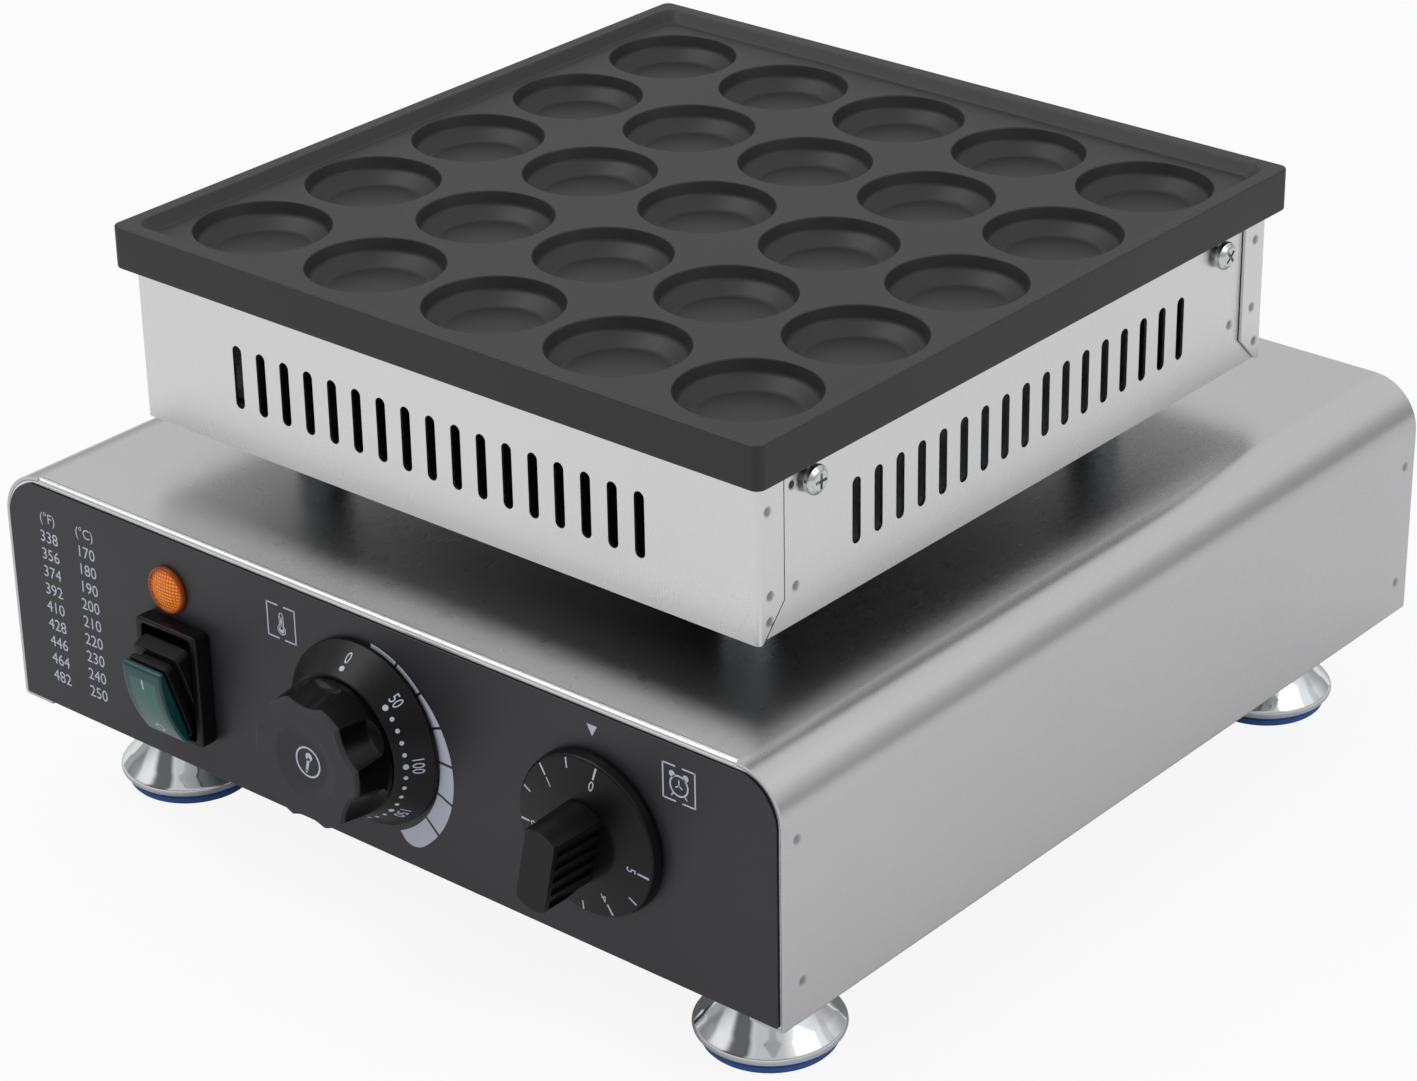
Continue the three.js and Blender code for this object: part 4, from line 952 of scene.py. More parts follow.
# %% Base shell
TURNED_IN, FILM, SLEEVE_HOLE = 14, 0.5, 17.3
w = BASE_WIDTH / 2
path = eased([
    (-w + TURNED_IN, BASE_LOW), (-w, BASE_LOW, BEND), (-w, BASE_TOP, BASE_CORNER),
    (w, BASE_TOP, BASE_CORNER), (w, BASE_LOW, BEND), (w - TURNED_IN, BASE_LOW),
], steps=14)
PANEL_FACE = FRONT + FILM + GAP
run = (0, REAR - PANEL_FACE, 0)
shell = surface("base_sheet", [(x, PANEL_FACE, z) for x, z in path], run)
thicken(shell, BASE_SHEET)
inner, bend = w - BASE_CORNER, BEND + GAP
low, high = (-inner, PANEL_FACE - bend, BASE_TOP - 3), (inner, PANEL_FACE + bend, BASE_TOP + 3)
cut(shell, box("bend_room", low, high))
sleeve_drill = place(prism("drill", circle(SLEEVE_HOLE, 48), 8), (0, MIDDLE, BASE_TOP - 4))
base_marks = [(w, -168.6, 103), (w, -166.2, 52.2), (w, 174.4, 96.1), (w, 173.2, 50.3)]
cut(shell, sleeve_drill, *[weld_marks(base_marks, side) for side in (-1, 1)])
tint_welds(base_steel, base_marks)
smooth(shell, 35)
hand_over(shell, base_steel, "machine", "base_shell")

# %% End panels, drawn with their face at y = 0 looking along -Y
FOLD_BACK = 14
INSIDE = BASE_SHEET + 0.2
side, roof, ground = w - INSIDE, BASE_TOP - INSIDE, BASE_LOW + INSIDE


def end_panel(name, bent=True):
    """The flat face and its bent edges, the upper one only where it is wanted."""
    top, low = BASE_TOP - BEND if bent else roof, BASE_LOW + BEND
    rounded = BASE_CORNER - INSIDE
    face = prism("face", eased([
        (-side, ground), (-inner, ground), (-inner, low), (inner, low), (inner, ground),
        (side, ground), (side, roof, rounded), (inner, roof), (inner, top), (-inner, top),
        (-inner, roof), (-side, roof, rounded),
    ], closed=True, steps=14), BASE_SHEET)
    t = BASE_SHEET
    under = BASE_TOP - t - GAP
    folds = []
    if bent:
        folds.append(prism("upper_edge", eased([
            (0, top - 1), (t, top - 1), (t, under - t), (FOLD_BACK, under - t), (FOLD_BACK, under),
            (BEND + GAP, under), (BEND + 0.05, BASE_TOP), (0, BASE_TOP, BEND - 0.02),
        ], closed=True, steps=8), 2 * inner))
    folds.append(prism("lower_edge", eased([
        (0, low + 1), (0, BASE_LOW, BEND), (FOLD_BACK, BASE_LOW), (FOLD_BACK, BASE_LOW + t),
        (t, BASE_LOW + t, 0.4), (t, low + 1),
    ], closed=True, steps=6), 2 * inner))
    place(face, (0, BASE_SHEET, 0), (90, 0, 0))
    return join(name, face, *[place(edge, (-inner, 0, 0), (90, 0, 90)) for edge in folds])


# %% Front panel
TIMER_X, TIMER_Z, DIAL_Z = 98.3, 82, 82.8
WINDOW, LAMP_HOLE, SHAFT_HOLE = (22.9, 37.6), 6.7, 5.8
panel = place(end_panel("front_panel_sheet"), (0, PANEL_FACE, 0))


def front_drills():
    """What is punched through the front panel and through the overlay."""
    round_holes = (
        (LAMP_HOLE, LAMP_X, LAMP_Z), (SHAFT_HOLE, 0, DIAL_Z), (SHAFT_HOLE, TIMER_X, TIMER_Z),
    )
    drills = [
        place(prism("drill", circle(r, 32), 12), (x, FRONT + 6, z), (90, 0, 0))
        for r, x, z in round_holes
    ]
    window = prism("window", rectangle(*WINDOW), 12)
    place(window, (SWITCH_X, FRONT + 6, SWITCH_Z), (90, 0, 0))
    return join("front_drills", *drills, window)


cut(panel, front_drills())
smooth(panel, 35)
hand_over(panel, panel_steel, "machine", "front_panel")

# %% Rear panel with its slots and the hole of the cable gland
GLAND_X, GLAND_Z, GLAND_HOLE, REAR_SLOTS = 108, 63.5, 10, 9
back = place(end_panel("rear_panel_sheet", bent=False), (0, REAR, 0), (0, 0, 180))
slots = place(slot_cutters(REAR_SLOTS), (0, REAR, PANEL_MIDDLE), (90, 0, 0))
drill = place(prism("drill", circle(GLAND_HOLE, 32), 12), (GLAND_X, REAR + 6, GLAND_Z), (90, 0, 0))
cut(back, slots, drill)
smooth(back, 35)
hand_over(back, panel_steel, "machine", "rear_panel")

# %% [markdown]
# ## The overlay
# A printed film covers the front panel. Its corners follow the panel's, a little inside them, and
# it stops where the upper bend starts.

# %% Overlay film
FILM_IN = INSIDE + 0.9
side, roof, top_line = w - FILM_IN, BASE_TOP - FILM_IN, BASE_TOP - BEND - 1.1
film_corners = [
    (-side, BASE_LOW + BEND, 0.6), (side, BASE_LOW + BEND, 0.6),
    (side, roof, BASE_CORNER - FILM_IN), (-side, roof, BASE_CORNER - FILM_IN),
]
outline = [Vector((x, min(z, top_line))) for x, z in eased(film_corners, closed=True, steps=14)]
film = place(prism("overlay_film", outline, FILM), (0, FRONT + FILM, 0), (90, 0, 0))
cut(film, front_drills())
smooth(film, 35)
hand_over(film, overlay, "machine", "control_overlay")

# %% [markdown]
# ## Marks
# The marks are a pale ink, a few hundredths of a millimetre proud. Each one is drawn flat and then
# laid on its surface: on the panel it only stands up, on a dial it is wrapped round the cone. The
# built-in font is measured once, so that a digit has the height that is asked for.

# %% Flat marks
INK, PROUD = 0.04, 0.005


def letters(text, height, narrow=1.0):
    """Digits of that height, flat, about the origin, and narrowed where they stand on a dial."""
    clear()
    bpy.ops.object.text_add()
    words = bpy.context.object.data
    words.body, words.align_x, words.align_y = text, "CENTER", "CENTER"
    words.size, words.extrude, words.resolution_u = height * MM / DIGIT, INK * MM / 2, 4
    bpy.ops.object.convert(target="MESH")
    bpy.context.object.scale.x = narrow
    return place(bpy.context.object)


DIGIT = 1.0
sample = letters("0", 1 / MM)
DIGIT = sample.dimensions.y
bpy.data.objects.remove(sample)
print("a digit is", round(DIGIT, 3), "of its font size")


def bar(width, height, x=0, y=0):
    return place(prism("bar", rectangle(width, height), INK), (x, y, 0))


def dot(radius, x=0, y=0):
    return place(prism("dot", circle(radius, 20), INK), (x, y, 0))


def ring(radius, line, x=0, y=0):
    """A circle drawn with a line of that width."""
    inner, outer = radius - line / 2, radius + line / 2
    flat = lathe("ring", [(inner, 0), (outer, 0), (outer, INK), (inner, INK)], 32, True)
    return place(flat, (x, y, 0))


# %% Marks on the overlay
COLUMN_F, COLUMN_C, FIRST_ROW, ROW_PITCH = -150.7, -132.1, 104.6, 6.78
NUMBER_SIZE, UNIT_SIZE, UNIT_ROW = 4.3, 3.7, FIRST_ROW + ROW_PITCH + 0.6
marks = []
for i, warm in enumerate(range(170, 251, 10)):
    z = FIRST_ROW - i * ROW_PITCH
    for x, number in ((COLUMN_F, warm * 9 // 5 + 32), (COLUMN_C, warm)):
        marks.append(place(letters(str(number), NUMBER_SIZE), (x, z, 0)))
for x, unit in ((COLUMN_F, "(°F)"), (COLUMN_C, "(°C)")):
    marks.append(place(letters(unit, UNIT_SIZE), (x, UNIT_ROW, 0)))
marks.append(prism("pointer", [(95.9, 118.9), (98, 115), (100.1, 118.9)], INK))
print("marks", len(marks))


# %% Two small pictures, a thermometer and a clock, each in an open frame
def open_frame(x, z, size, line=0.55, gap=2.6):
    """A square with a gap in the middle of its top and bottom."""
    reach = size / 2
    parts = [bar(line, size, x + s * reach, z) for s in (-1, 1)]
    short = reach - gap / 2
    for word, s, t in CORNERS:
        middle = x + s * (gap / 2 + short / 2)
        parts.append(bar(short, line, middle, z + t * (reach - line / 2)))
    return parts


def thermometer(x, z):
    """A bulb with its column, and a thin line round both."""
    return [
        dot(1.25, x, z - 2.6), bar(0.9, 4.6, x, z - 0.2),
        ring(0.85, 0.35, x, z + 2.6), ring(1.75, 0.35, x, z - 2.6),
        bar(0.35, 3.4, x - 0.95, z + 0.7), bar(0.35, 3.4, x + 0.95, z + 0.7),
    ]


def clock(x, z):
    """A ring with two hands, two feet and two bells."""
    parts = [ring(3.5, 0.6, x, z - 0.4), bar(0.45, 2.2, x, z + 0.6)]
    for s in (-1, 1):
        hand = place(bar(0.45, 1.7), (x + s * 0.65, z - 0.75, 0), (0, 0, s * 58))
        foot = place(bar(0.5, 1.5), (x + s * 2.7, z - 3.9, 0), (0, 0, s * 40))
        parts += [hand, foot, dot(1.15, x + s * 2.7, z + 3.1)]
    return parts


HEAT_SIGN, TIME_SIGN, SIGN_SIZE = (-37.2, 109.5), (132.7, 110.4), 12.7
marks += open_frame(*HEAT_SIGN, SIGN_SIZE) + thermometer(*HEAT_SIGN)
marks += open_frame(*TIME_SIGN, SIGN_SIZE) + clock(*TIME_SIGN)


# %% Heat scale round the thermostat, seven pieces that widen clockwise
def reach_of(circle_x, circle_z, radius, angle):
    """How far a ray from the dial's middle, clockwise from the top, runs to a circle."""
    x, z = sin(angle), cos(angle)
    along_ray = x * circle_x + z * circle_z
    return along_ray + (along_ray ** 2 - circle_x ** 2 - circle_z ** 2 + radius ** 2) ** 0.5


SCALE_FROM, SCALE_TO, SCALE_PIECES, SCALE_GAP, ROUND_END = 6, 155, 7, 1.6, 5
NEAR_CIRCLE, FAR_CIRCLE, NEAR_LEAST, FAR_LEAST = (-1.3, -2.8, 33.2), (1, -5.8, 36.7), 31, 33.1
step = (SCALE_TO - SCALE_FROM) / SCALE_PIECES
shares = [j / 16 for j in range(17)]
for i in range(SCALE_PIECES):
    is_last = i == SCALE_PIECES - 1
    first = SCALE_FROM + i * step + SCALE_GAP / 2
    last = SCALE_FROM + (i + 1) * step - SCALE_GAP / 2 + ROUND_END * is_last
    fine = [radians(first + (last - first) * share) for share in shares]
    near = [max(reach_of(*NEAR_CIRCLE, a), NEAR_LEAST) for a in fine]
    far = [max(reach_of(*FAR_CIRCLE, a), FAR_LEAST) for a in fine]
    if is_last:
        far = [
            low + (high - low) * (1 - max(0, 2 * share - 1) ** 2) ** 0.5
            for share, low, high in zip(shares, near, far)
        ]
    rim = [*zip(fine, far)] + [*zip(fine, near)][::-1]
    marks.append(prism("heat_scale", [(r * sin(a), DIAL_Z + r * cos(a)) for a, r in rim], INK))
legend = place(join("overlay_marks", *marks), (0, FRONT - PROUD, 0), (90, 0, 0))
hand_over(legend, ink, "machine")

# %% [markdown]
# ## The power switch
# A frame snaps into the panel. A clear green rocker stands on a stepped rubber boot in it and tips
# from I to O. Rocker and boot are one body, so they are drawn flat in the switch's own frame and
# then tipped together.

# %% Frame
def on_switch(piece, tipped=False):
    """Lays a piece drawn flat, X right and Y up, onto the panel at the switch."""
    return place(piece, (SWITCH_X, FRONT, SWITCH_Z), (90 + SWITCH_TILT * tipped, 0, 0))


FRAME, FRAME_CORNER, FRAME_HIGH = (29.5, 42), 2.4, 6.5
surround = prism("switch_surround", rectangle(*FRAME, FRAME_CORNER), FRAME_HIGH)
place(surround, (0, 0, GAP))
cut(surround, place(prism("window", rectangle(*WINDOW, 1), 12), (0, 0, -2)))
soften(surround, 0.8, steps=4)
smooth(on_switch(surround), 35)
hand_over(surround, black, "machine", "switch_frame")

# %% Boot
tiers = []
for width, length, low, tall in (
    (22.2, 34, 1.2, 6), (16.2, 28, 6.8, 3), (19.2, 31, 9.4, 2.4),
):
    tier = place(prism("tier", rectangle(width, length, 2.4), tall), (0, 0, low))
    tiers.append(soften(tier, 0.55, steps=3))
boot = join("rubber_boot", *tiers)
smooth(on_switch(boot, tipped=True), 35)
hand_over(boot, rubber, "rocker", "switch_boot")

# %% Rocker cap
CAP_LONG, CAP_WIDE, CAP_LOW, CAP_EDGE, CROWN = 15.5, 18.6, 12.1, 14.7, 2.4
STEM_X, STEM_Y, STEM_LOW = 4, 3.5, -6


def crown(y):
    """How high the cap's domed face stands at a place along the rocker."""
    return CAP_EDGE + CROWN * (1 - (y / CAP_LONG) ** 2)


line = [(y, crown(y)) for y in (CAP_LONG * (1 - i / 10) for i in range(21))]
cap = prism("rocker_cap", [(-CAP_LONG, CAP_LOW), (CAP_LONG, CAP_LOW), *line], CAP_WIDE)
place(cap, (-CAP_WIDE / 2, 0, 0), (90, 0, 90))
soften(cap, 1.1, steps=4, angle=50)
stem = box("stem", (-STEM_X, -STEM_Y, STEM_LOW), (STEM_X, STEM_Y, CAP_LOW + 1))
cap = join("rocker_cap", cap, stem)
smooth(on_switch(cap, tipped=True), 40)
hand_over(cap, green, "rocker", "switch_rocker")

# %% I and O on the rocker
signs = join("rocker_signs", bar(0.75, 3.8, 0, 9.6), ring(1.75, 0.6, 0, -10.4))
for point in signs.data.vertices:
    point.co.z += (crown(point.co.y / MM) + 0.01) * MM
on_switch(signs, tipped=True)
hand_over(signs, ink, "rocker")

# %% [markdown]
# ## The lamp
# A turned amber lens with a raised rim round its slightly domed middle, its stem in the panel.

# %% Lamp lens
LENS_R, LENS_STEM, LENS_RIM, LENS_CROWN = 8.4, 6.4, 1.9, 2.5
lens_cap = lathe("lamp_lens", eased([
    (0, -2), (LENS_STEM, -2), (LENS_STEM, GAP), (LENS_R, GAP, 0.2), (LENS_R, LENS_RIM, 0.6),
    (7.4, LENS_RIM, 0.4), (7, 1.3, 0.4), (4, 2.3, 4), (0, LENS_CROWN),
], steps=4), 64)
smooth(place(lens_cap, (LAMP_X, FRONT, LAMP_Z), (90, 0, 0)), 35)
hand_over(lens_cap, amber, "machine", "pilot_lens")

# %% [markdown]
# ## The thermostat
# A bell-shaped dial ring and a fluted knob turn on one shaft. The six flutes are the scoops of one
# wide round mill that leans away at its foot, so each scoop is deepest at the face and ends in an
# arch above the base.

# %% Dial ring
RIM_R, RIM_H, TOP_R, TOP_H, DIAL_BORE, OFF_PANEL = 32.4, 2.3, 24.2, 12.5, 15.5, 0.7
dial = lathe("dial_ring", eased([
    (DIAL_BORE, OFF_PANEL), (RIM_R, OFF_PANEL, 0.4), (RIM_R, RIM_H, 0.9), (TOP_R, TOP_H, 1.5),
    (DIAL_BORE, TOP_H),
], closed=True, steps=5), 96, closed=True)


def on_thermostat(piece):
    """Stands a piece that is drawn flat on the panel at the thermostat."""
    return place(piece, (0, FRONT, DIAL_Z), (90, 0, 0))


smooth(on_thermostat(dial), 35)
hand_over(dial, black, "thermostat_control", "thermostat_dial")

# %% Knob
HUB, KNOB_R, KNOB_LOW, FACE_R, KNOB_FACE = DIAL_BORE - GAP, 24, TOP_H + GAP, 22.4, 28.5
knob = lathe("thermostat_grip", eased([
    (0, OFF_PANEL), (HUB, OFF_PANEL), (HUB, KNOB_LOW), (KNOB_R, KNOB_LOW, 0.6), (KNOB_R, 15, 2),
    (FACE_R, KNOB_FACE, 0.9), (13, KNOB_FACE, 2.5), (9, DISH, 7), (0, DISH),
], steps=6), 144)
FLUTES, MILL, MILL_AT, LEAN, SCOOP_LOW, MILL_TOP = 6, 17, 42.2, 11, 16.6, KNOB_FACE + 9
mill = lathe("mill", eased([
    (0, SCOOP_LOW), (MILL, SCOOP_LOW, 4.5), (MILL, MILL_TOP), (0, MILL_TOP),
], steps=8), 120)
place(mill, (MILL_AT, 0, 0), (0, -LEAN, 0))
cut(knob, *around(mill, FLUTES, 180 / FLUTES))
soften(knob, 0.5, steps=3, angle=33)
smooth(on_thermostat(knob), 38)
hand_over(knob, knob_black, "thermostat_control", "thermostat_knob")

# %% A thermometer in a ring, in the knob's dish
sign = [ring(5.2, 0.7), dot(1.5, 0, 2.1), bar(1.1, 5.2, 0, -1), dot(0.55, 0, -3.6)]
sign = place(join("knob_sign", *sign), (0, 0, DISH + 0.03), (0, 0, -14))
hand_over(on_thermostat(sign), ink, "thermostat_control")


# %% Wrapping marks round a cone
def wrapped(mark, angle, radius, height, fall):
    """Lays a flat mark on a cone that falls outwards by an angle in radians, its top outwards.
    The other angle is clockwise from the top, and radius and height are the mark's middle."""
    for point in mark.data.vertices:
        along, out, proud = point.co / MM
        r = radius + out * cos(fall) + proud * sin(fall)
        swing = radians(angle) + along / radius
        point.co = Vector((r * sin(swing), r * cos(swing), height - out * sin(fall) + proud)) * MM
    return mark


# %% Numbers and dots on the dial
fall = atan2(TOP_H - RIM_H, RIM_R - TOP_R)


def cone_height(radius):
    return TOP_H - (radius - TOP_R) * tan(fall) + 0.02


DOTS_R, NUMBERS_R, PER_DEGREE = 26.5, 28.9, 0.9
marks = []


def on_dial(mark, warm, radius):
    """Wraps a mark onto the dial where its temperature is."""
    marks.append(wrapped(mark, warm * PER_DEGREE, radius, cone_height(radius), fall))


on_dial(dot(1.0), 0, DOTS_R)
on_dial(letters("0", 4.1, 0.75), 0, NUMBERS_R)
for warm in range(50, 301, 10):
    on_dial(dot(0.75 if warm % 50 else 1.0), warm, DOTS_R)
    if warm % 50 == 0:
        on_dial(letters(str(warm), 4.0, 0.72), warm, NUMBERS_R)
dial_marks = on_thermostat(join("dial_marks", *marks))
hand_over(dial_marks, ink, "thermostat_control")

# %% [markdown]
# ## The timer
# One moulding: a low domed disc and a bar grip whose sides are stepped for the fingers. The grip
# starts as a block between two sections, the wider one at the disc.

# %% Disc and grip
TIMER_REST, DISC_R, SLOPE_R, SLOPE_H, FLAT_R, FLAT_H = 12, 28, 27.4, 5, 14, 7.2
disc = lathe("timer_disc", eased([
    (0, OFF_PANEL), (DISC_R, OFF_PANEL, 0.4), (DISC_R, 2, 0.3), (SLOPE_R, SLOPE_H, 1.0),
    (FLAT_R, FLAT_H, 12), (0, FLAT_H),
], steps=6), 96)
GRIP_LOW, GRIP_FACE, HALF_BAR, BAR_END, ASIDE = 4.5, 27.5, 6.8, 14, -0.7
NARROWER, LONGER, LEANS = 11.8 / (2 * HALF_BAR), 29.3 / (2 * BAR_END), -1.3
half_turn = asin(HALF_BAR / BAR_END)
arc = [half_turn * (1 - i / 6) for i in range(13)]
upper_end = [(BAR_END * sin(a), BAR_END * cos(a)) for a in arc]
lower_end = [(-x, -y) for x, y in upper_end]
grip = prism("grip", upper_end + lower_end, GRIP_FACE - GRIP_LOW)
place(grip, (0, ASIDE, GRIP_LOW))
edit(grip)
pick_faces(grip, lambda centre, normal: normal.z > 0.9)
bpy.ops.transform.resize(value=(NARROWER, LONGER, 1), center_override=(0, ASIDE * MM, 0))
bpy.ops.transform.translate(value=(0, LEANS * MM, 0))
leave()
TEETH, TOOTH, LEDGE, TOOTH_LONG, TEETH_MIDDLE, TOOTH_LEAN = 5, 5, 1.0, 18.4, -1.6, 2.6
teeth = []
for side in (-1, 1):
    for y in row(TEETH, TOOTH):
        corners = [(0, 0), (LEDGE, TOOTH - 0.4), (6, TOOTH - 0.4), (6, 0)]
        low = (HALF_BAR - LEDGE - 0.15, y + TEETH_MIDDLE - TOOTH / 2, FLAT_H)
        tooth = place(prism("tooth", corners, TOOTH_LONG), low, (0, -TOOTH_LEAN, 0))
        if side < 0:
            edit(tooth)
            bpy.ops.mesh.select_all(action="SELECT")
            bpy.ops.transform.resize(value=(-1, 1, 1), center_override=(0, 0, 0))
            face_out()
        teeth.append(tooth)
cut(grip, join("teeth", *teeth))
soften(grip, 0.45, steps=3, angle=32)
smooth(disc, 35)
smooth(grip, 30)
timer = join("timer_grip", disc, grip)


def on_timer(piece):
    """Stands a piece that is drawn flat on the panel at the timer, turned to where it rests."""
    place(piece, turn=(0, 0, -TIMER_REST))
    return place(piece, (TIMER_X, FRONT, TIMER_Z), (90, 0, 0))


hand_over(on_timer(timer), black, "timer_control", "timer_knob")

# %% Ticks and numbers on the disc
disc_fall = atan2(FLAT_H - SLOPE_H, SLOPE_R - FLAT_R)
TICK_PITCH, TICK_END, HOURS_R = 27, 26.6, 20


def disc_height(radius):
    return SLOPE_H + (SLOPE_R - radius) * tan(disc_fall) + 0.03


marks = []
for i in range(11):
    reach = 3.4 if i % 2 else 4.1
    tick = bar(0.55 if i % 2 else 0.7, reach)
    centre = TICK_END - reach / 2
    marks.append(wrapped(tick, -TICK_PITCH * i, centre, disc_height(centre), disc_fall))
    if i % 2 == 0:
        number = letters(str(i // 2), 3.4, 0.85)
        marks.append(wrapped(number, -TICK_PITCH * i, HOURS_R, disc_height(HOURS_R), disc_fall))
timer_marks = on_timer(join("timer_marks", *marks))
hand_over(timer_marks, ink, "timer_control")

# %% [markdown]
# ## Feet
# A spun steel bell, chromed, on a blue rubber pad. The side of the bell falls in a curve from the
# neck to the rim and then curves in above the pad, and those curves are what makes the broad bands
# of light on it.

# %% Bell and pad, one turned shape each, copied to the four corners
NECK, BELL, BELL_LOW, BELL_TOP, BELL_IN, LIP = 11, 25, 7, 38.2, 19.3, 2.8
STUD, STUD_TOP, PAD_R, PAD_TOP = 4, BELL_TOP + 12, 22.4, 8
flare = [
    (NECK + (BELL - NECK) * (1 - i / 24) ** 2, BELL_LOW + (BELL_TOP - BELL_LOW) * i / 24)
    for i in range(3, 25)
]
bell = lathe("bell", eased([
    (0, PAD_TOP + GAP), (BELL_IN, PAD_TOP + GAP, 0.5), (BELL_IN, LIP, 0.3), (22.5, LIP, 0.5),
    (BELL + 1, 6.1, 2.4), *flare, (STUD, BELL_TOP), (STUD, STUD_TOP, 0.8), (0, STUD_TOP),
], steps=4), 96)
pad = lathe("pad", eased([
    (0, 0), (21.6, 0, 0.4), (PAD_R, 0.9, 0.5), (PAD_R, LIP - GAP, 0.3),
    (BELL_IN - GAP, LIP - GAP, 0.2), (BELL_IN - GAP, PAD_TOP, 0.5), (0, PAD_TOP),
], steps=4), 96)
smooth(bell, 40)
smooth(pad, 40)
FOOT_X, FOOT_Y = 133.5, {-1: FRONT + 40.8, 1: REAR - 30.6}
for word, side, way in CORNERS:
    for part, name, finish, node in (
        (bell, "foot_bell", chrome, "foot"), (pad, "foot_rubber", blue, "foot_pad"),
    ):
        copy = place(copy_of(part), (side * FOOT_X, FOOT_Y[way], 0))
        copy.name = f"{name}_{word}"
        hand_over(copy, finish, f"levelling_foot_{word}", f"{node}_{word}")
for part in (bell, pad):
    bpy.data.objects.remove(part)

# %% [markdown]
# ## Screws and pillars
# Pan head screws hold the plate's lugs, and flatter ones the base's bottom plate. Each head is
# turned, and its recess is two crossed slots. The housing stands on four plain turned pillars.

# %% Pan head screw and flat screw
def cross(reach, half, low, high):
    """Two crossed slots for the driver."""
    return [
        box("slot", (-x, -y, low), (x, y, high)) for x, y in ((reach, half), (half, reach))
    ]


SHANK, SHANK_END, HEAD = 2.5, -12, 5
pan_screw = lathe("pan_screw", eased([
    (0, SHANK_END), (SHANK, SHANK_END, 0.5), (SHANK, 0), (HEAD, 0, 0.2), (HEAD, 1.7, 0.9),
    (3.2, 3.1, 1.6), (0, 3.2),
], steps=4), 48)
flat_screw = lathe("flat_screw", eased([
    (0, SHANK_END), (SHANK, SHANK_END, 0.5), (SHANK, 0), (HEAD, 0, 0.2), (HEAD, 0.5, 0.3),
    (2, 1.1, 0.8), (0, 1.1),
], steps=3), 48)
smooth(cut(pan_screw, *cross(2.7, 0.55, 1.6, 5)), 35)
smooth(cut(flat_screw, *cross(2, 0.4, 0.3, 3)), 35)

# %% Screws at their places
UNDER_SCREW_X, UNDER_SCREW_IN, TIGHTENED = 165.5, 62, 30
UNDER_SCREW_Y = {-1: FRONT + UNDER_SCREW_IN, 1: REAR - UNDER_SCREW_IN}
for word, side, way in CORNERS:
    pan = place(copy_of(pan_screw), turn=(0, 0, 20 + way * SCREW_Y))
    place(pan, (side * HALF_WIDTH, MIDDLE + way * SCREW_Y, SCREW_Z), (0, side * 90, 0))
    under = (side * UNDER_SCREW_X, UNDER_SCREW_Y[way], BASE_LOW - GAP)
    flat = place(copy_of(flat_screw), under, (180, 0, TIGHTENED))
    pan.name, flat.name = f"pan_screw_{word}", f"under_screw_{word}"
    hand_over(pan, screw_steel, "machine", f"plate_screw_{word}")
    hand_over(flat, screw_steel, "machine", f"bottom_screw_{word}")
for part in (pan_screw, flat_screw):
    bpy.data.objects.remove(part)

# %% Pillars
PILLAR_AT, PILLAR_R = 95, 9
PILLAR_LOW, PILLAR_TOP = BASE_TOP + GAP, HOUSING_LOW - GAP
for word, side, way in CORNERS:
    post = lathe(f"post_{word}", eased([
        (0, PILLAR_LOW), (PILLAR_R, PILLAR_LOW, 0.6), (PILLAR_R, PILLAR_TOP, 0.6), (0, PILLAR_TOP),
    ], steps=3), 48)
    smooth(place(post, (side * PILLAR_AT, MIDDLE + way * PILLAR_AT, 0)), 40)
    hand_over(post, zinc, "machine", f"pillar_{word}")

# %% [markdown]
# ## The cable gland
# A hexagonal body through the rear panel and a ribbed cap, both open for the cable.

# %% Gland body and cap
def on_gland(piece):
    """Stands a piece that is drawn flat on the rear panel at the gland."""
    return place(piece, (GLAND_X, REAR, GLAND_Z), (-90, 0, 0))


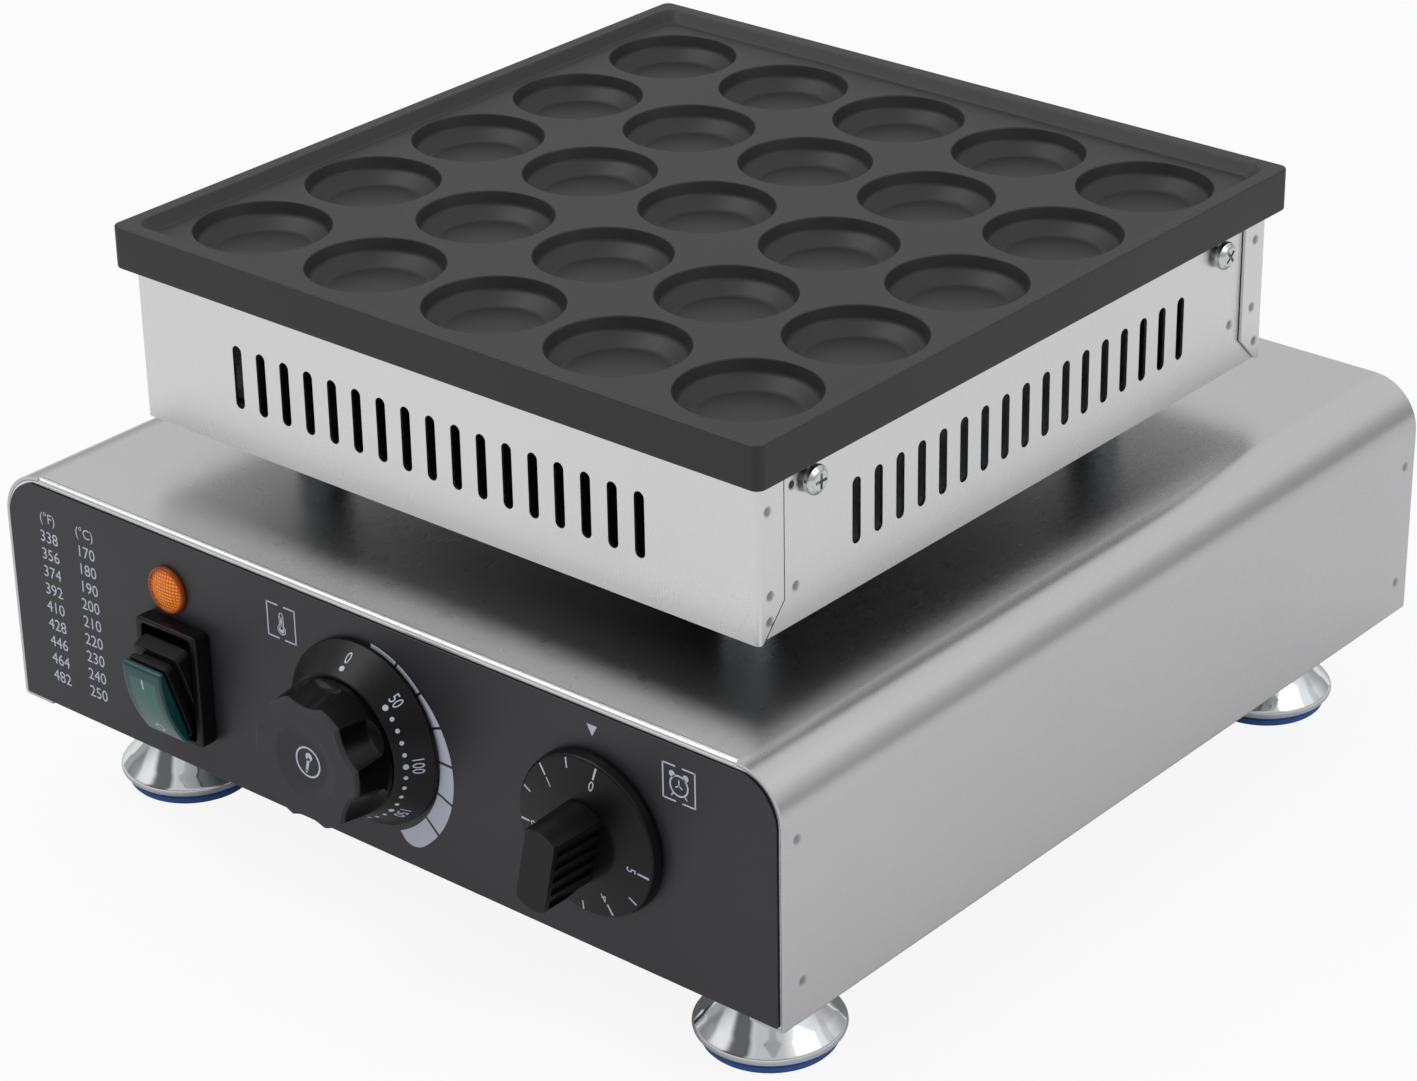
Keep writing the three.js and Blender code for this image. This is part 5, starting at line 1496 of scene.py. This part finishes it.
NUT_R, NUT_HIGH, THREAD_BORE, THREAD_R = 14, 5, 6, GLAND_HOLE - GAP
THREAD_IN, THREAD_OUT = -13, 17.3
nut = place(prism("gland_nut", circle(NUT_R, 6), NUT_HIGH), (0, 0, GAP))
soften(nut, 0.5, steps=3)
thread = lathe("gland_thread", [
    (THREAD_BORE, THREAD_IN), (THREAD_R, THREAD_IN),
    (THREAD_R, THREAD_OUT), (THREAD_BORE, THREAD_OUT),
], 48, True)
nut = join("gland_nut", nut, thread)
smooth(on_gland(nut), 35)
hand_over(nut, black, "machine", "gland_body")
DOME_BORE, DOME_LOW, DOME_R, DOME_TOP, CABLE_WAY = 10, 5.6, 13, 24, 5.2
stopped = THREAD_OUT + GAP
cap = lathe("gland_dome", eased([
    (DOME_BORE, DOME_LOW), (DOME_R, DOME_LOW, 0.3), (DOME_R, 20.4, 2.5), (9.4, DOME_TOP, 1.5),
    (CABLE_WAY, DOME_TOP, 0.8), (CABLE_WAY, stopped), (DOME_BORE, stopped),
], closed=True, steps=5), 72, closed=True)
RIBS, RIB_DEPTH, RIB_HALF = 24, 0.4, 0.45
rib = box("rib", (DOME_R - RIB_DEPTH, -RIB_HALF, 7.2), (DOME_R + 3, RIB_HALF, 18.2))
cut(cap, join("ribs", *around(rib, RIBS)))
smooth(on_gland(cap), 35)
hand_over(cap, black, "machine", "gland_cap")

# %% [markdown]
# ## Solids that keep their own shape
# What is inside the machine, or already has its right shape, stays as the CAD solid and only gets
# a finish here.

# %% Finishes for the solids that stay
plain = {
    "zinc_plate": zinc, "heater_tube": heater, "sensor_copper": copper, "wire_sleeving": sleeving,
    "white_ceramic": ceramic, "black_plastic": black, "screw_steel": screw_steel,
    "brushed_sheet": upright_steel, "plated_cup": chrome, "blue_rubber": blue,
    "boot_rubber": rubber, "green_rocker": green, "amber_lens": amber,
    "coated_casting": coated, "printed_overlay": overlay,
}
for entry in frame["record"]["subparts"]:
    for holder in frame["nodes"][entry["node"]].material_slots:
        holder.material = plain[entry["material_slot"]].material
